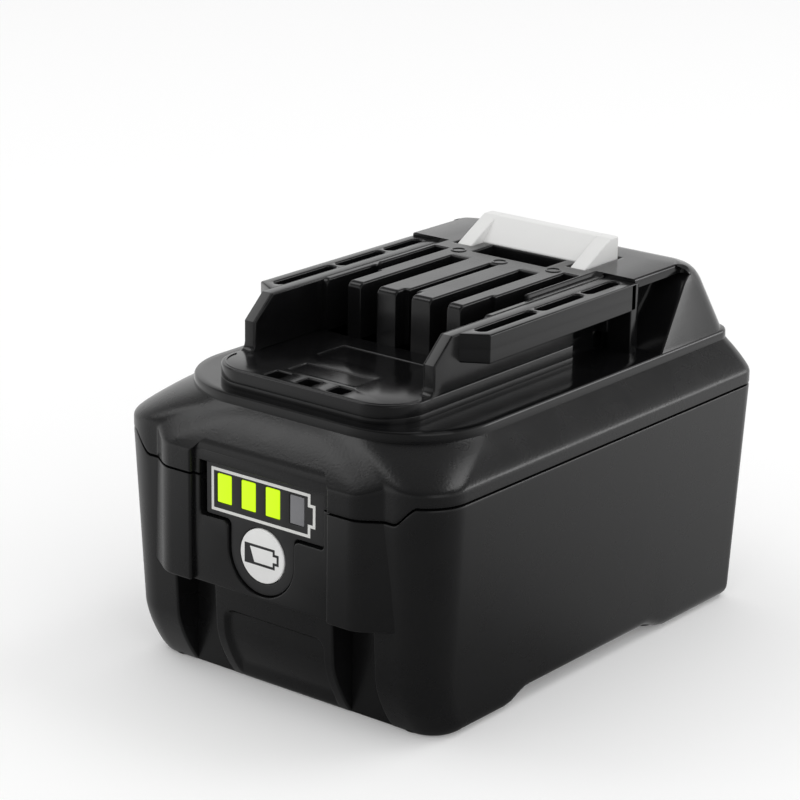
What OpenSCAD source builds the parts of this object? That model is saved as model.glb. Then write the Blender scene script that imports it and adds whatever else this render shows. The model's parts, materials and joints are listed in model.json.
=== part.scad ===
// Slide-on battery pack for a cordless tool: six round cells in a two-part case.
// The gauge end faces -Y, the latch end faces +Y, and the pack stands on z = 0.

/* [Cells] */
// Diameter of one cell with its sleeve
cell_d = 18.4; // [18:0.1:19]
// Length of one cell
cell_l = 65; // [63:0.5:68]
// Web of the holder between two cells
cell_gap = 0.4; // [0.2:0.1:1]
// Depth of each cell holder along the cells
holder_l = 11; // [8:0.5:16]
// Skin of the holder round the outer cells
holder_skin = 0.4; // [0.3:0.1:1]
// Thickness of the nickel straps
strap_t = 0.3; // [0.15:0.05:0.5]
// Width of the nickel straps over one row of cells
strap_w = 8; // [5:0.5:10]

/* [Case] */
// Wall of both case halves
wall = 2.2; // [1.6:0.1:2.6]
// Thickness of the tub's floor
floor_t = 2.4; // [1.8:0.1:4]
// Room between the cells and the side walls at the parting line
side_room = 2.3; // [2.2:0.1:5]
// Room ahead of the cells, from the front plane of the case
front_room = 11.5; // [11:0.5:16]
// Room behind the cells, to the rear plane of the case
rear_room = 13; // [12.5:0.5:20]
// How far the top of the cell pack stands above the parting line
pack_rise = 1.95; // [0.5:0.05:4]
// Radius of the upright corners at the gauge end
corner_front_r = 9.5; // [7:0.5:12]
// Radius of the upright corners at the latch end
corner_rear_r = 5; // [4:0.5:8]
// Draft of the tub walls in degrees
draft = 3; // [0:0.5:3.5]
// Round of the tub's bottom edge
bottom_r = 1.6; // [0.5:0.1:3]
// Gap of the parting line between the case halves
parting_gap = 0.2; // [0.1:0.05:0.4]
// Height of the side arches cut into the bottom edge
arch_h = 1.8; // [1:0.1:3]
// Length of the raised part of a side arch
arch_l = 36; // [20:1:46]
// Reach of a side arch under the tub
arch_reach = 4; // [2:0.5:4.5]

/* [Front apron] */
// How far the apron stands proud of the front plane
apron_proud = 2.5; // [2:0.1:4]
// Width of the apron
apron_w = 47; // [40:1:50]
// Round of the apron's upright edges
apron_r = 3.5; // [1:0.1:5]
// Height of the apron's lower edge above the bottom
apron_z = 17.8; // [14:0.1:20]
// How far the parting line drops across the apron
apron_drop = 3.1; // [2:0.1:5]
// Depth of the gauge recess in the apron
recess_depth = 0.9; // [0.4:0.1:1.5]
// Width of the gauge recess
recess_w = 26.8; // [26:0.2:32]
// Width of each grip groove below the apron
groove_w = 8; // [4:0.5:9]
// Width of the pad between the grip grooves
pad_w = 24.4; // [20:0.2:26]
// Depth of the grip grooves from the front plane
groove_depth = 6; // [3:0.5:7]
// Height of each grip groove, which runs out towards its foot
groove_h = 10.3; // [8:0.1:11]
// Height of the chamfer along the front bottom edge
chamfer_h = 8.5; // [6:0.5:10]
// Depth of the chamfer along the front bottom edge
chamfer_d = 3.6; // [1:0.1:4]
// Depth of the label pocket on the pad
label_depth = 0.5; // [0.2:0.1:1]

/* [Gauge] */
// Width of the bar of the T-shaped gauge panel
gauge_w = 24.8; // [24:0.1:26]
// Height of the bar of the gauge panel
gauge_h = 9; // [8:0.1:11]
// Distance from the bar's middle down to the button's axis
gauge_drop = 8.6; // [8:0.1:12]
// Radius of the round foot of the gauge panel
gauge_foot_r = 6.4; // [6:0.1:6.8]
// Depth of the gauge panel's face below the recess floor
gauge_set = 0.5; // [0.4:0.1:1.3]
// Clearance round the gauge panel
gauge_fit = 0.15; // [0.05:0.05:0.3]
// Radius of the gauge button
button_r = 4.45; // [3.5:0.05:5]
// Travel of the gauge button
button_travel = 0.4; // [0.2:0.1:0.6]
// Running clearance round the gauge button
button_fit = 0.2; // [0.1:0.05:0.4]
// Width of a light bar
bar_w = 2.5; // [2:0.1:3.4]
// Height of a light bar
bar_h = 4.3; // [3:0.1:5]
// Spacing of the four light bars
bar_pitch = 4.95; // [4.4:0.05:5.4]
// Height of the light bars' middle over the panel bar's middle
bar_lift = 0.35; // [0:0.05:0.6]
// Thickness of the gauge board
gauge_board_t = 1.2; // [0.8:0.1:1.6]

/* [Lid] */
// Height of the upright rim above the parting line
rim_h = 1.9; // [1:0.05:4]
// Rise of the sloped shoulder from rim to ledge
shoulder_h = 5.4; // [3:0.05:6]
// Width of the sloped shoulder at the sides
shoulder_w = 4.9; // [4:0.1:7]
// Distance of the ledge behind the front plane
ledge_set = 4.3; // [3:0.1:6]
// Corner radius of the ledge at the gauge end
ledge_r = 15.3; // [8:0.1:16]
// Height of the ledge
ledge_h = 1.6; // [1:0.1:3]
// Lean of the rear face over the ledge, per millimetre of height
rear_lean = 0.5; // [0.3:0.05:0.6]
// Round over the rear edge of the deck
rear_round = 6; // [4.5:0.5:6.5]
// Height of the tower base over the ledge
base_h = 3.05; // [2.5:0.05:6]

/* [Rails] */
// Overall width over the rail flanges
rail_w = 46.6; // [44:0.1:48]
// Overhang of each flange beyond the tower wall
flange_reach = 4; // [3:0.1:5]
// Thickness of the flanges
flange_t = 4.7; // [3:0.1:6]
// Height of the rail groove over the tower base
groove_lift = 4; // [3:0.1:6]
// Length kept behind the rails for the latch
latch_room = 26; // [25:0.5:30]
// Thickness of the tower walls
tower_wall = 2.4; // [1.8:0.1:2.6]
// Distance of the tower walls' front behind the base
wall_set = 9.8; // [6:0.1:12]
// Distance of the flanges' front behind the walls' front
flange_set = 8.6; // [6:0.1:10]
// Distance of the comb's front behind the flanges' front
comb_set = 7.9; // [5:0.1:10]
// Height of the deck over the flange tops
deck_rise = 0.6; // [0.2:0.1:1.5]
// Thickness of the deck
deck_t = 2; // [1.5:0.1:2.4]
// Width of the power terminal slots
power_slot_w = 3.4; // [3:0.1:3.8]
// Distance of the power slots from the middle plane
power_slot_x = 7.1; // [6.8:0.1:7.4]
// Width of the outer slots
outer_slot_w = 2.7; // [2:0.1:3]
// Distance of the outer slots from the middle plane
outer_slot_x = 13.4; // [13:0.1:13.6]
// Width of the middle slot
middle_slot_w = 1.5; // [1:0.1:2]
// Solid length of the comb behind its slots
slot_end = 6.5; // [5:0.1:8]

/* [Latch] */
// Height of the hook over the deck
hook_h = 3.8; // [2:0.1:4.2]
// Length of the hook along the rails
hook_l = 9.9; // [8:0.1:11]
// Overall width of the hook
hook_w = 26.4; // [22:0.1:28]
// Thickness of the hook's cheeks
cheek_t = 2.9; // [2:0.1:4]
// Travel of the latch
latch_travel = 4.5; // [4.2:0.1:5]
// Running clearance of the latch in the deck
latch_fit = 0.3; // [0.2:0.05:0.5]
// Outer diameter of a latch spring
spring_d = 5; // [4.4:0.1:6]
// Wire diameter of a latch spring
spring_wire = 0.6; // [0.4:0.05:0.7]
// Turns of a latch spring
spring_turns = 5; // [4:0.5:6]
// Width of the release button
release_w = 23; // [18:0.5:24]
// Height of the release button
release_h = 9; // [7:0.1:9.4]

/* [Boards and screws] */
// Thickness of the main board
board_t = 1.6; // [1:0.1:1.8]
// Width of the main board
board_w = 44; // [40:0.5:46]
// Side of the controller chip
chip_w = 7; // [5:0.5:8]
// Thickness of the chips on the main board
chip_t = 0.9; // [0.6:0.1:1]
// Room round the chips
chip_gap = 2; // [1.5:0.1:2.2]
// Length of a power transistor
transistor_l = 6; // [4:0.5:6.4]
// Width of a power transistor
transistor_w = 5; // [4:0.5:6]
// Shank radius of the case screws
screw_r = 1.2; // [0.9:0.1:1.4]
// Head radius of the case screws
screw_head_r = 1.9; // [1.7:0.1:2.2]
// Shank radius of the small screws
small_screw_r = 0.9; // [0.7:0.1:1]
// Clearance between a screw and its hole
screw_fit = 0.1; // [0.05:0.05:0.2]

/* [Hidden] */
$fn = 48;
hull_fn = 32;
eps = 0.01;
cut = 1;
seat_gap = 0.2;

// Cell pack
cell_r = cell_d / 2;
cell_pitch = cell_d + cell_gap;
pack_half_w = cell_pitch + cell_r + holder_skin;
holder_z0 = floor_t + seat_gap;
row_z = [holder_z0 + holder_skin + cell_r, holder_z0 + holder_skin + cell_r + cell_pitch];
pack_top = row_z[1] + cell_r + holder_skin;
cap_r = 4.2;
cap_h = 0.6;
holder_in = 0.7;

// Case outline
half_w = cell_pitch + cell_r + side_room + wall;
total_l = apron_proud + front_room + cell_l + rear_room;
front_y = -total_l / 2;
case_y0 = front_y + apron_proud;
case_y1 = total_l / 2;
cell_y0 = case_y0 + front_room;
cell_y1 = cell_y0 + cell_l;
parting_z = pack_top - pack_rise;
apron_parting_z = parting_z - apron_drop;
draft_in = parting_z * tan(draft);
apron_half_w = apron_w / 2;
skirt_half_w = apron_half_w + 1.6;
recess_y = front_y + recess_depth;
bay_y = recess_y + wall - 0.2;
bay_z0 = apron_z + 1.6;
bay_half_w = gauge_w / 2 + 2.4;
groove_y = case_y0 + groove_depth;
groove_z = apron_z - groove_h;
groove_upright = groove_h * 0.37;
groove_x0 = pad_w / 2;
groove_x1 = groove_x0 + groove_w;
label_edge = 2.2;
label_y = case_y0 + draft_in * (1 - apron_z / parting_z) + label_depth;
label_z = [chamfer_h - 4.5, apron_z - 5.2];

// Gauge
gauge_z = apron_parting_z - 2;
button_z = gauge_z - gauge_drop;
gauge_y = recess_y + gauge_set;
gauge_back_y = bay_y + 0.1;
gauge_rim = 1.2;
gauge_plate_t = 0.8;
gauge_board_y = gauge_back_y + gauge_plate_t + 4;
bar_end_y = gauge_board_y - 1;
switch_h = 2;
plunger_h = 0.7;
gauge_board_half_w = gauge_w / 2 + 0.6;
gauge_board_z = [bay_z0 + 0.5, gauge_z + gauge_h / 2 + 1.6];
bar_z = gauge_z + bar_lift;
bar_fit = button_fit / 2;

// Lid levels and places
rim_top = parting_z + rim_h;
ledge_z = rim_top + shoulder_h;
ledge_top = ledge_z + ledge_h;
ledge_root = 2.5;
tower_floor = ledge_top + base_h;
groove_top = tower_floor + groove_lift;
flange_top = groove_top + flange_t;
deck_z = flange_top + deck_rise;
deck_under = deck_z - deck_t;
roof_t = 2;
ceiling_t = 2.95;
lid_ceiling = ledge_top - ceiling_t;
tower_under = tower_floor - roof_t;
lid_rear_r = corner_rear_r - 1;
ledge_half_w = half_w - shoulder_w;
ledge_y0 = case_y0 + ledge_set;
rear_face_in = 0.6;
ledge_y1 = case_y1 - rear_face_in;
tower_half_w = rail_w / 2 - flange_reach;
tower_in = tower_half_w - tower_wall;
base_y0 = ledge_y0 + 2.4;
wall_y0 = base_y0 + wall_set;
flange_y0 = wall_y0 + flange_set;
flange_y1 = case_y1 - latch_room;
flange_l = flange_y1 - flange_y0;
comb_y0 = flange_y0 + comb_set;
deck_y0 = flange_y1 + 1.2;
tower_y1 = deck_y0 + cut;
pocket_foot_y = deck_y0 + 2.4;
pocket_top_y = deck_y0 + latch_room * 0.5;
pocket_top_z = deck_z - 1.6;
mark_r = 1.4;
mark_depth = 0.3;

// Latch
hook_y0 = flange_y1 + 0.8;
hook_y1 = hook_y0 + hook_l;
hook_top = deck_z + hook_h;
cheek_in = hook_w / 2 - cheek_t;
window_half_w = 7.5;
window_y0 = hook_y0 - 3;
window_y1 = hook_y0 + 2.7;
back_wall_y = window_y1 + 0.7;
latch_foot_t = 2.2;
latch_foot_z = deck_under - latch_fit - latch_foot_t;
latch_foot_half_w = tower_in - 1;
hollow_y0 = hook_y0 - 2.3;
hollow_y1 = case_y1 - wall - 1.4;
rear_tuck = 0.3;
rear_wall_t = 2.4;
round_z = deck_z - rear_round;
round_y = ledge_y1 - rear_tuck - rear_lean * (round_z - ledge_top) - rear_round;
hollow_knee_z = ledge_top + (ledge_y1 - rear_tuck - rear_wall_t - hollow_y1) / rear_lean;
hollow_bend = [round_y + 3.4, deck_z - 4.4];
hollow_top_y = round_y + 1.3;
cradle_t = 2;
cradle_z = lid_ceiling + cradle_t;
cradle_y1 = hollow_y1 - 2;
spring_x = 8.5;
spring_y = hook_y0 + 6.5;
spring_l = latch_foot_z - cradle_z;
stud_r = spring_d / 2 - spring_wire - 0.3;
stud_h = 1.7;
release_z1 = deck_under - 0.9;
release_z0 = release_z1 - release_h;
release_hole_z0 = release_z0 - latch_travel - latch_fit;
arm_t = 2;
arm_y = round_y + 2.1;
arm_z = cradle_z + latch_travel + 0.6;
arm_knee_z = latch_foot_z - 0.8;
grip_r = 0.45;
button_proud = 0.4;
cradle_post = [tower_in - 2, hook_y1 + 3.8];
cradle_post_r = 2.4;

// Boards and terminals
board_z = pack_top + 1.2;
board_top = board_z + board_t;
board_y0 = cell_y0 + 5;
board_y1 = cell_y1 - 1;
screw_x = cell_pitch / 2;
screw_rows = [cell_y0 + 7, cell_y1 - 7];
seat_r = 2.4;
slot_back = flange_y1 - slot_end;
terminal_y = [comb_y0 + (slot_back - comb_y0) / 3, slot_back - slot_end];
signal_l = (terminal_y[1] - terminal_y[0]) * 0.4;
signal_y0 = (terminal_y[0] + terminal_y[1] - signal_l) / 2;
signal_y = [signal_y0, signal_y0 + signal_l];
terminal_half_w = 1.3;
terminal_leaf = 0.6;
terminal_top = flange_top - 2.8;
small_head_h = 0.8;

// Case screws
post_front = [half_w - 8.7, case_y0 + 8];
post_rear = [half_w - 6.6, case_y1 - 6.2];
post_r = screw_head_r + 1;
lid_post_r = post_r - 0.4;
post_top = parting_z - 9.6;
well_top = post_top - 3;
screw_l = 14;
lid_post_top = rim_top + roof_t + 0.6;
head_h = 2.2;

// Shared shapes

// Rounded plan of the case: r0 at the gauge end, r1 at the latch end
module plan(hw, y0, y1, r0, r1) {
    translate([-hw, y0 + r0])
        square([2 * hw, y1 - y0 - r0 - r1]);
    translate([-hw + r0, y0])
        square([2 * (hw - r0), y1 - y0 - r1]);
    translate([-hw + r1, y0 + r0])
        square([2 * (hw - r1), y1 - y0 - r0]);
    for (side = [-1, 1]) {
        translate([side * (hw - r0), y0 + r0])
            circle(r0);
        translate([side * (hw - r1), y1 - r1])
            circle(r1);
    }
}

// Plan of the case at an inset from its outer face
module case_plan(inset) {
    plan(half_w - inset, case_y0 + inset, case_y1 - inset,
        max(corner_front_r - inset, 1), max(corner_rear_r - inset, 1));
}

// Plan of the apron at an inset from its face, running back into the case wall
module apron_plan(inset) {
    hw = apron_half_w - inset;
    translate([-hw, front_y + apron_r])
        square([2 * hw, apron_proud + wall - apron_r]);
    translate([-hw + apron_r, front_y + inset])
        square([2 * (hw - apron_r), apron_proud + wall - inset]);
    for (side = [-1, 1])
        translate([side * (hw - apron_r), front_y + inset + apron_r])
            circle(apron_r);
}

// Thin slice of a plan at height z, used as one level of a hull
module level(z) {
    translate([0, 0, z])
        linear_extrude(eps)
            children();
}

// Extrudes a drawing of (Y, Z) along X
module along_x(x0, x1) {
    translate([x0, 0, 0])
        rotate([90, 0, 90])
            linear_extrude(x1 - x0)
                children();
}

// Extrudes a drawing of (X, Z) along Y
module along_y(y0, y1) {
    translate([0, y1, 0])
        rotate([90, 0, 0])
            linear_extrude(y1 - y0)
                children();
}

// Box between two corners
module box(a, b) {
    translate(a)
        cube(b - a);
}

// Upright cylinder from z0 to z1
module post(at, r, z0, z1) {
    translate([at[0], at[1], z0])
        cylinder(r = r, h = z1 - z0);
}

// Repeats its children on both sides of the middle plane
module both_sides() {
    for (side = [0, 1])
        mirror([side, 0, 0])
            children();
}

// Places of the four case screws, turned so that round seams face the middle
module at_case_screws() {
    both_sides()
        for (at = [post_front, post_rear])
            translate(at)
                rotate(180)
                    children();
}

// Outline of the T-shaped gauge panel in (X, Z), grown by g
module gauge_outline(g) {
    translate([-gauge_w / 2 - g, gauge_z - gauge_h / 2 - g])
        square([gauge_w + 2 * g, gauge_h + 2 * g]);
    translate([-gauge_foot_r - g, button_z])
        square([2 * (gauge_foot_r + g), gauge_z - button_z]);
    translate([0, button_z])
        circle(gauge_foot_r + g);
}

// Front part of the case that belongs to the lid, in (X, Z)
module skirt_outline() {
    polygon([
        [-skirt_half_w, apron_parting_z],
        [skirt_half_w, apron_parting_z],
        [skirt_half_w + apron_drop, parting_z],
        [skirt_half_w + apron_drop, parting_z + cut],
        [-skirt_half_w - apron_drop, parting_z + cut],
        [-skirt_half_w - apron_drop, parting_z]
    ]);
}

// Lower case

// Plan of the tub at its foot, set back from the drafted front and in from the sides
module foot_plan(set_back, inset) {
    plan(half_w - draft_in - inset, case_y0 + draft_in + set_back, case_y1 - draft_in - inset,
        max(corner_front_r - draft_in - inset, 1), max(corner_rear_r - draft_in - inset, 1));
}

module tub_outer() {
    hull() {
        level(0)
            foot_plan(chamfer_d, bottom_r, $fn = hull_fn);
        level(bottom_r)
            foot_plan(chamfer_d * (1 - bottom_r / chamfer_h), 0, $fn = hull_fn);
        level(chamfer_h)
            case_plan(draft_in * (1 - chamfer_h / parting_z), $fn = hull_fn);
        level(parting_z - eps)
            case_plan(0, $fn = hull_fn);
    }
}

module tub_cavity() {
    low = arch_reach + 0.2;
    hull() {
        level(floor_t)
            plan(half_w - draft_in - wall - low, case_y0 + draft_in + wall, case_y1 - draft_in - wall,
                2, 2, $fn = hull_fn);
        level(floor_t + low)
            case_plan(draft_in + wall, $fn = hull_fn);
        level(parting_z + cut)
            case_plan(wall, $fn = hull_fn);
    }
}

module lower_case() {
    color("#1b1b1c")
        difference() {
            union() {
                difference() {
                    tub_outer();
                    tub_cavity();
                }
                translate([0, 0, apron_z])
                    linear_extrude(apron_parting_z - apron_z)
                        apron_plan(0);
                intersection() {
                    tub_outer();
                    union() {
                        both_sides()
                            box([groove_x0 - wall, case_y0, groove_z - wall],
                                [groove_x1 + wall, groove_y + wall, bay_z0]);
                        at_case_screws()
                            cylinder(r = post_r, h = post_top);
                    }
                }
            }
            both_sides() {
                along_x(groove_x0, groove_x1)
                    polygon([
                        [front_y - cut, apron_z],
                        [groove_y, apron_z],
                        [groove_y, apron_z - groove_upright],
                        [case_y0 + draft_in / 2, groove_z],
                        [front_y - cut, groove_z]
                    ]);
                along_x(half_w - draft_in - arch_reach, half_w + cut)
                    polygon([
                        [-arch_l / 2 - 2 * arch_h, -eps],
                        [-arch_l / 2, arch_h],
                        [arch_l / 2, arch_h],
                        [arch_l / 2 + 2 * arch_h, -eps]
                    ]);
            }
            box([-groove_x0 + label_edge, case_y0 - cut, label_z[0]],
                [groove_x0 - label_edge, label_y, label_z[1]]);
            box([-recess_w / 2, front_y - cut, apron_z - cut], [recess_w / 2, recess_y, parting_z]);
            box([-bay_half_w, bay_y, bay_z0], [bay_half_w, groove_y, parting_z]);
            along_y(front_y, groove_y)
                gauge_outline(gauge_fit);
            along_y(front_y - cut, case_y0 + corner_front_r)
                skirt_outline();
            at_case_screws() {
                translate([0, 0, -cut])
                    cylinder(r = screw_head_r + screw_fit, h = well_top + cut);
                cylinder(r = screw_r + screw_fit, h = parting_z);
            }
        }
}

// Upper case

// Rim and slope of the lid; the slope runs on inside the ledge
module lid_shoulder() {
    run_on = 1;
    hull() {
        level(apron_parting_z + parting_gap)
            case_plan(0, $fn = hull_fn);
        level(rim_top)
            case_plan(0, $fn = hull_fn);
        level(rim_top + shoulder_h * 0.27)
            case_plan(shoulder_w * 0.09, $fn = hull_fn);
        level(rim_top + shoulder_h * 0.45)
            case_plan(shoulder_w * 0.25, $fn = hull_fn);
        level(ledge_z + run_on)
            plan(ledge_half_w - 1.4 * run_on, ledge_y0 + run_on, ledge_y1 - 0.8 * run_on,
                ledge_r - run_on, lid_rear_r, $fn = hull_fn);
    }
}

module apron_shoulder() {
    reach = ledge_y0 - front_y;
    tuck = 0.5;
    top_half_w = apron_half_w - 6;
    hull() {
        level(apron_parting_z + parting_gap)
            apron_plan(0, $fn = hull_fn);
        level(rim_top)
            apron_plan(0, $fn = hull_fn);
        level(rim_top + shoulder_h * 0.2)
            apron_plan(reach * 0.08, $fn = hull_fn);
        level(rim_top + shoulder_h * 0.4)
            translate([0, reach * 0.24])
                apron_plan(reach * 0.1, $fn = hull_fn);
        level(ledge_z - eps)
            translate([-top_half_w, ledge_y0 + tuck])
                square([2 * top_half_w, 2]);
    }
}

// What the tub takes of the lid's lower band: all but the skirt at the front
module tub_band() {
    band_z = apron_parting_z - cut;
    top = parting_z + parting_gap;
    skirt_y1 = case_y0 + corner_front_r / 2;
    box([-half_w - cut, skirt_y1, band_z], [half_w + cut, case_y1 + cut, top]);
    both_sides()
        along_y(front_y - cut, skirt_y1 + cut)
            polygon([
                [skirt_half_w, band_z],
                [skirt_half_w, apron_parting_z + parting_gap],
                [skirt_half_w + apron_drop, top],
                [half_w + cut, top],
                [half_w + cut, band_z]
            ]);
}

// Rear block of the tower under the deck, leaning in towards the top
module rear_block() {
    front_r = 0.5;
    side_lean = 0.24;
    // Angle over the rear edge, and how far the sides draw in there
    turns = [[20, 0], [45, 0.2], [70, 0.7], [90, 1.5]];
    hull() {
        level(ledge_top - rear_tuck)
            plan(ledge_half_w - rear_tuck, deck_y0, ledge_y1 - rear_tuck, front_r, lid_rear_r, $fn = hull_fn);
        for (t = turns) {
            z = round_z + rear_round * sin(t[0]) - eps;
            level(z)
                plan(ledge_half_w - rear_tuck - side_lean * (z - ledge_top) - t[1], deck_y0,
                    round_y + rear_round * cos(t[0]), front_r, lid_rear_r, $fn = hull_fn);
        }
    }
}

// Walls, rails and comb over the tower base
module rail_tower() {
    base_r = 7;
    wall_end_r = 0.5;
    wall_slope = 4.3;
    flange_skew = 2.7;
    root = 0.4;
    rail_top_w = 1.5;
    translate([0, 0, ledge_top - eps])
        linear_extrude(base_h + eps)
            plan(tower_half_w, base_y0, tower_y1, base_r, wall_end_r);
    both_sides() {
        along_x(tower_in, tower_half_w)
            polygon([
                [wall_y0, tower_floor - cut],
                [wall_y0, groove_top + 0.8],
                [wall_y0 + wall_slope, flange_top],
                [tower_y1, flange_top],
                [tower_y1, tower_floor - cut]
            ]);
        translate([0, 0, groove_top])
            linear_extrude(flange_t)
                polygon([
                    [tower_half_w - root, flange_y0 - flange_skew],
                    [tower_half_w + flange_reach, flange_y0],
                    [tower_half_w + flange_reach, tower_y1],
                    [tower_half_w - root, tower_y1]
                ]);
        box([tower_half_w - cut, flange_y1, ledge_top - eps],
            [tower_half_w + flange_reach, deck_y0, flange_top]);
    }
    box([-tower_in + rail_top_w, comb_y0, tower_floor - cut], [tower_in - rail_top_w, tower_y1, deck_z]);
    box([-tower_in - cut, comb_y0, tower_floor - cut], [tower_in + cut, tower_y1, flange_top]);
}

// Slot through the comb from its front to y1, at place x
module comb_slot(x, w, y1) {
    box([x - w / 2, comb_y0 - cut, tower_floor], [x + w / 2, y1, deck_z + cut]);
}

// Shallow round mark in the deck
module deck_mark(at) {
    post(at, mark_r, deck_z - mark_depth, deck_z + cut);
}

// Slots of the comb and of the flange tops, and the small holes of the tower
module tower_cuts() {
    outer_back = slot_back + slot_end / 2;
    outer_wide = comb_y0 + (slot_back - comb_y0) * 0.35;
    hole_pitch = 6.3;
    hole_y = base_y0 + 1.8;
    hole_size = [2.4, 2.6];
    flange_slots = [[0.04, 0.365], [0.415, 0.7], [0.755, 0.97]] * flange_l;
    slot_r = 1.1;
    slot_depth = 2.5;
    slot_x = tower_half_w + 0.8;
    niche_l = 9.5;
    niche_end = 0.8;
    niche_depth = tower_wall - 0.3;
    both_sides() {
        comb_slot(power_slot_x, power_slot_w, slot_back);
        comb_slot(outer_slot_x, outer_slot_w, outer_back);
        comb_slot(outer_slot_x + 0.25, outer_slot_w + 1.7, outer_wide);
        for (s = flange_slots)
            translate([slot_x, flange_y0, flange_top - slot_depth])
                linear_extrude(slot_depth + cut) {
                    for (y = s)
                        translate([0, y])
                            circle(slot_r);
                    translate([-slot_r, s[0]])
                        square([2 * slot_r, s[1] - s[0]]);
                }
        box([tower_half_w - niche_depth, flange_y1 - niche_end - niche_l, ledge_top],
            [tower_half_w + cut, flange_y1 - niche_end, groove_top]);
        deck_mark([9.8, hook_y0 - 4]);
        box([power_slot_x - terminal_half_w - seat_gap, terminal_y[0] - 2 * seat_gap, lid_ceiling],
            [power_slot_x + terminal_half_w + seat_gap, terminal_y[1] + 2 * seat_gap, deck_z]);
        box([outer_slot_x - terminal_leaf * 1.5, signal_y[0] - 2 * seat_gap, lid_ceiling],
            [outer_slot_x + terminal_leaf * 1.5, signal_y[1] + 2 * seat_gap, deck_z]);
    }
    comb_slot(0, middle_slot_w, slot_back);
    comb_slot(0, 3.2, comb_y0 + 2.5);
    deck_mark([0, hook_y0 - 5.6]);
    for (i = [-1:1])
        translate([i * hole_pitch - hole_size[0] / 2, hole_y, tower_under - cut])
            cube([hole_size[0], hole_size[1], roof_t + 2 * cut]);
}

// Openings of the deck for the hook, and of the rear face for the release button
module latch_openings() {
    box([-window_half_w, window_y0, deck_under - 4], [window_half_w, window_y1, deck_z + cut]);
    both_sides()
        box([cheek_in - latch_fit, hook_y0 - latch_fit, deck_under - cut],
            [hook_w / 2 + latch_fit, hook_y1 + latch_fit, deck_z + cut]);
    box([-cheek_in, back_wall_y - latch_fit, deck_under - cut],
        [cheek_in, hook_y1 + latch_fit, deck_z + cut]);
    box([-release_w / 2 - latch_fit, hollow_top_y + latch_fit, release_hole_z0],
        [release_w / 2 + latch_fit, case_y1 + cut, release_z1 + latch_fit]);
}

// Closed outer form of the lid below the tower
module lid_outer() {
    difference() {
        lid_shoulder();
        tub_band();
    }
    apron_shoulder();
    translate([0, 0, ledge_z - ledge_root])
        linear_extrude(ledge_h + ledge_root)
            plan(ledge_half_w, ledge_y0, ledge_y1, ledge_r, lid_rear_r);
}

module lid_cavity() {
    translate([0, 0, apron_parting_z - cut])
        linear_extrude(rim_top + roof_t - apron_parting_z + cut)
            case_plan(wall);
    translate([0, 0, rim_top])
        linear_extrude(lid_ceiling - rim_top)
            plan(ledge_half_w - wall, ledge_y0 + wall, hollow_y1, ledge_r - wall, 1);
}

// Posts that take the case screws from below
module lid_posts() {
    intersection() {
        translate([0, 0, post_top])
            linear_extrude(lid_post_top - post_top)
                case_plan(1);
        at_case_screws()
            cylinder(r = lid_post_r, h = lid_post_top);
    }
}

module tower() {
    difference() {
        union() {
            rear_block();
            rail_tower();
        }
        both_sides()
            along_x(tower_half_w, half_w)
                polygon([
                    [deck_y0, ledge_top],
                    [pocket_foot_y, ledge_top],
                    [pocket_top_y, pocket_top_z],
                    [deck_y0, pocket_top_z]
                ]);
        along_x(-tower_in, tower_in)
            polygon([
                [hollow_y0, lid_ceiling - cut],
                [hollow_y1, lid_ceiling - cut],
                [hollow_y1, hollow_knee_z],
                hollow_bend,
                [hollow_top_y, deck_under],
                [hollow_y0, deck_under]
            ]);
    }
}

module upper_case() {
    gauge_depth = case_y0 + wall + cut;
    color("#151516")
        difference() {
            union() {
                difference() {
                    lid_outer();
                    lid_cavity();
                    box([-tower_in, hollow_y0, lid_ceiling - cut], [tower_in, hollow_y1, ledge_top + eps]);
                }
                lid_posts();
                tower();
                both_sides()
                    post(cradle_post, cradle_post_r, cradle_z, deck_under + cut);
            }
            box([-tower_in, base_y0 + roof_t, lid_ceiling - cut], [tower_in, hollow_y0 + cut, tower_under]);
            box([-recess_w / 2, front_y - cut, apron_parting_z - cut], [recess_w / 2, recess_y, ledge_top]);
            box([-bay_half_w, bay_y, apron_parting_z - cut], [bay_half_w, gauge_depth, rim_top - 0.4]);
            along_y(front_y, gauge_depth)
                gauge_outline(gauge_fit);
            tower_cuts();
            latch_openings();
            at_case_screws()
                cylinder(r = screw_r + screw_fit, h = well_top + screw_l + 1);
            both_sides()
                post(cradle_post, small_screw_r + screw_fit, cradle_z - cut, cradle_z + 6);
        }
}

// Latch

module latch_hook() {
    ramp = hook_h * 1.95;
    color("#f2f2ee") {
        both_sides()
            along_x(cheek_in, hook_w / 2)
                polygon([
                    [hook_y0, latch_foot_z],
                    [hook_y0, deck_z],
                    [hook_y0 + ramp, hook_top],
                    [hook_y1, hook_top],
                    [hook_y1, latch_foot_z]
                ]);
        along_x(-cheek_in - eps, cheek_in + eps)
            polygon([
                [back_wall_y, latch_foot_z],
                [back_wall_y, deck_z],
                [back_wall_y + hook_h, hook_top],
                [hook_y1, hook_top],
                [hook_y1, latch_foot_z]
            ]);
        difference() {
            box([-latch_foot_half_w, hook_y0, latch_foot_z],
                [latch_foot_half_w, hook_y1 + 0.9, latch_foot_z + latch_foot_t]);
            box([-window_half_w, hook_y0 - cut, latch_foot_z - cut], [window_half_w, window_y1, deck_z]);
        }
        along_x(-spring_x, spring_x)
            polygon([
                [hook_y1, latch_foot_z],
                [arm_y - 1.7 * arm_t, latch_foot_z],
                [arm_y - arm_t, arm_knee_z - 0.6],
                [arm_y - arm_t, arm_z],
                [arm_y, arm_z],
                [arm_y, arm_knee_z],
                [arm_y - 1.2 * arm_t, latch_foot_z + latch_foot_t],
                [hook_y1, latch_foot_z + latch_foot_t]
            ]);
        both_sides()
            post([spring_x, spring_y], stud_r, latch_foot_z - stud_h, latch_foot_z + cut);
    }
}

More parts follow.
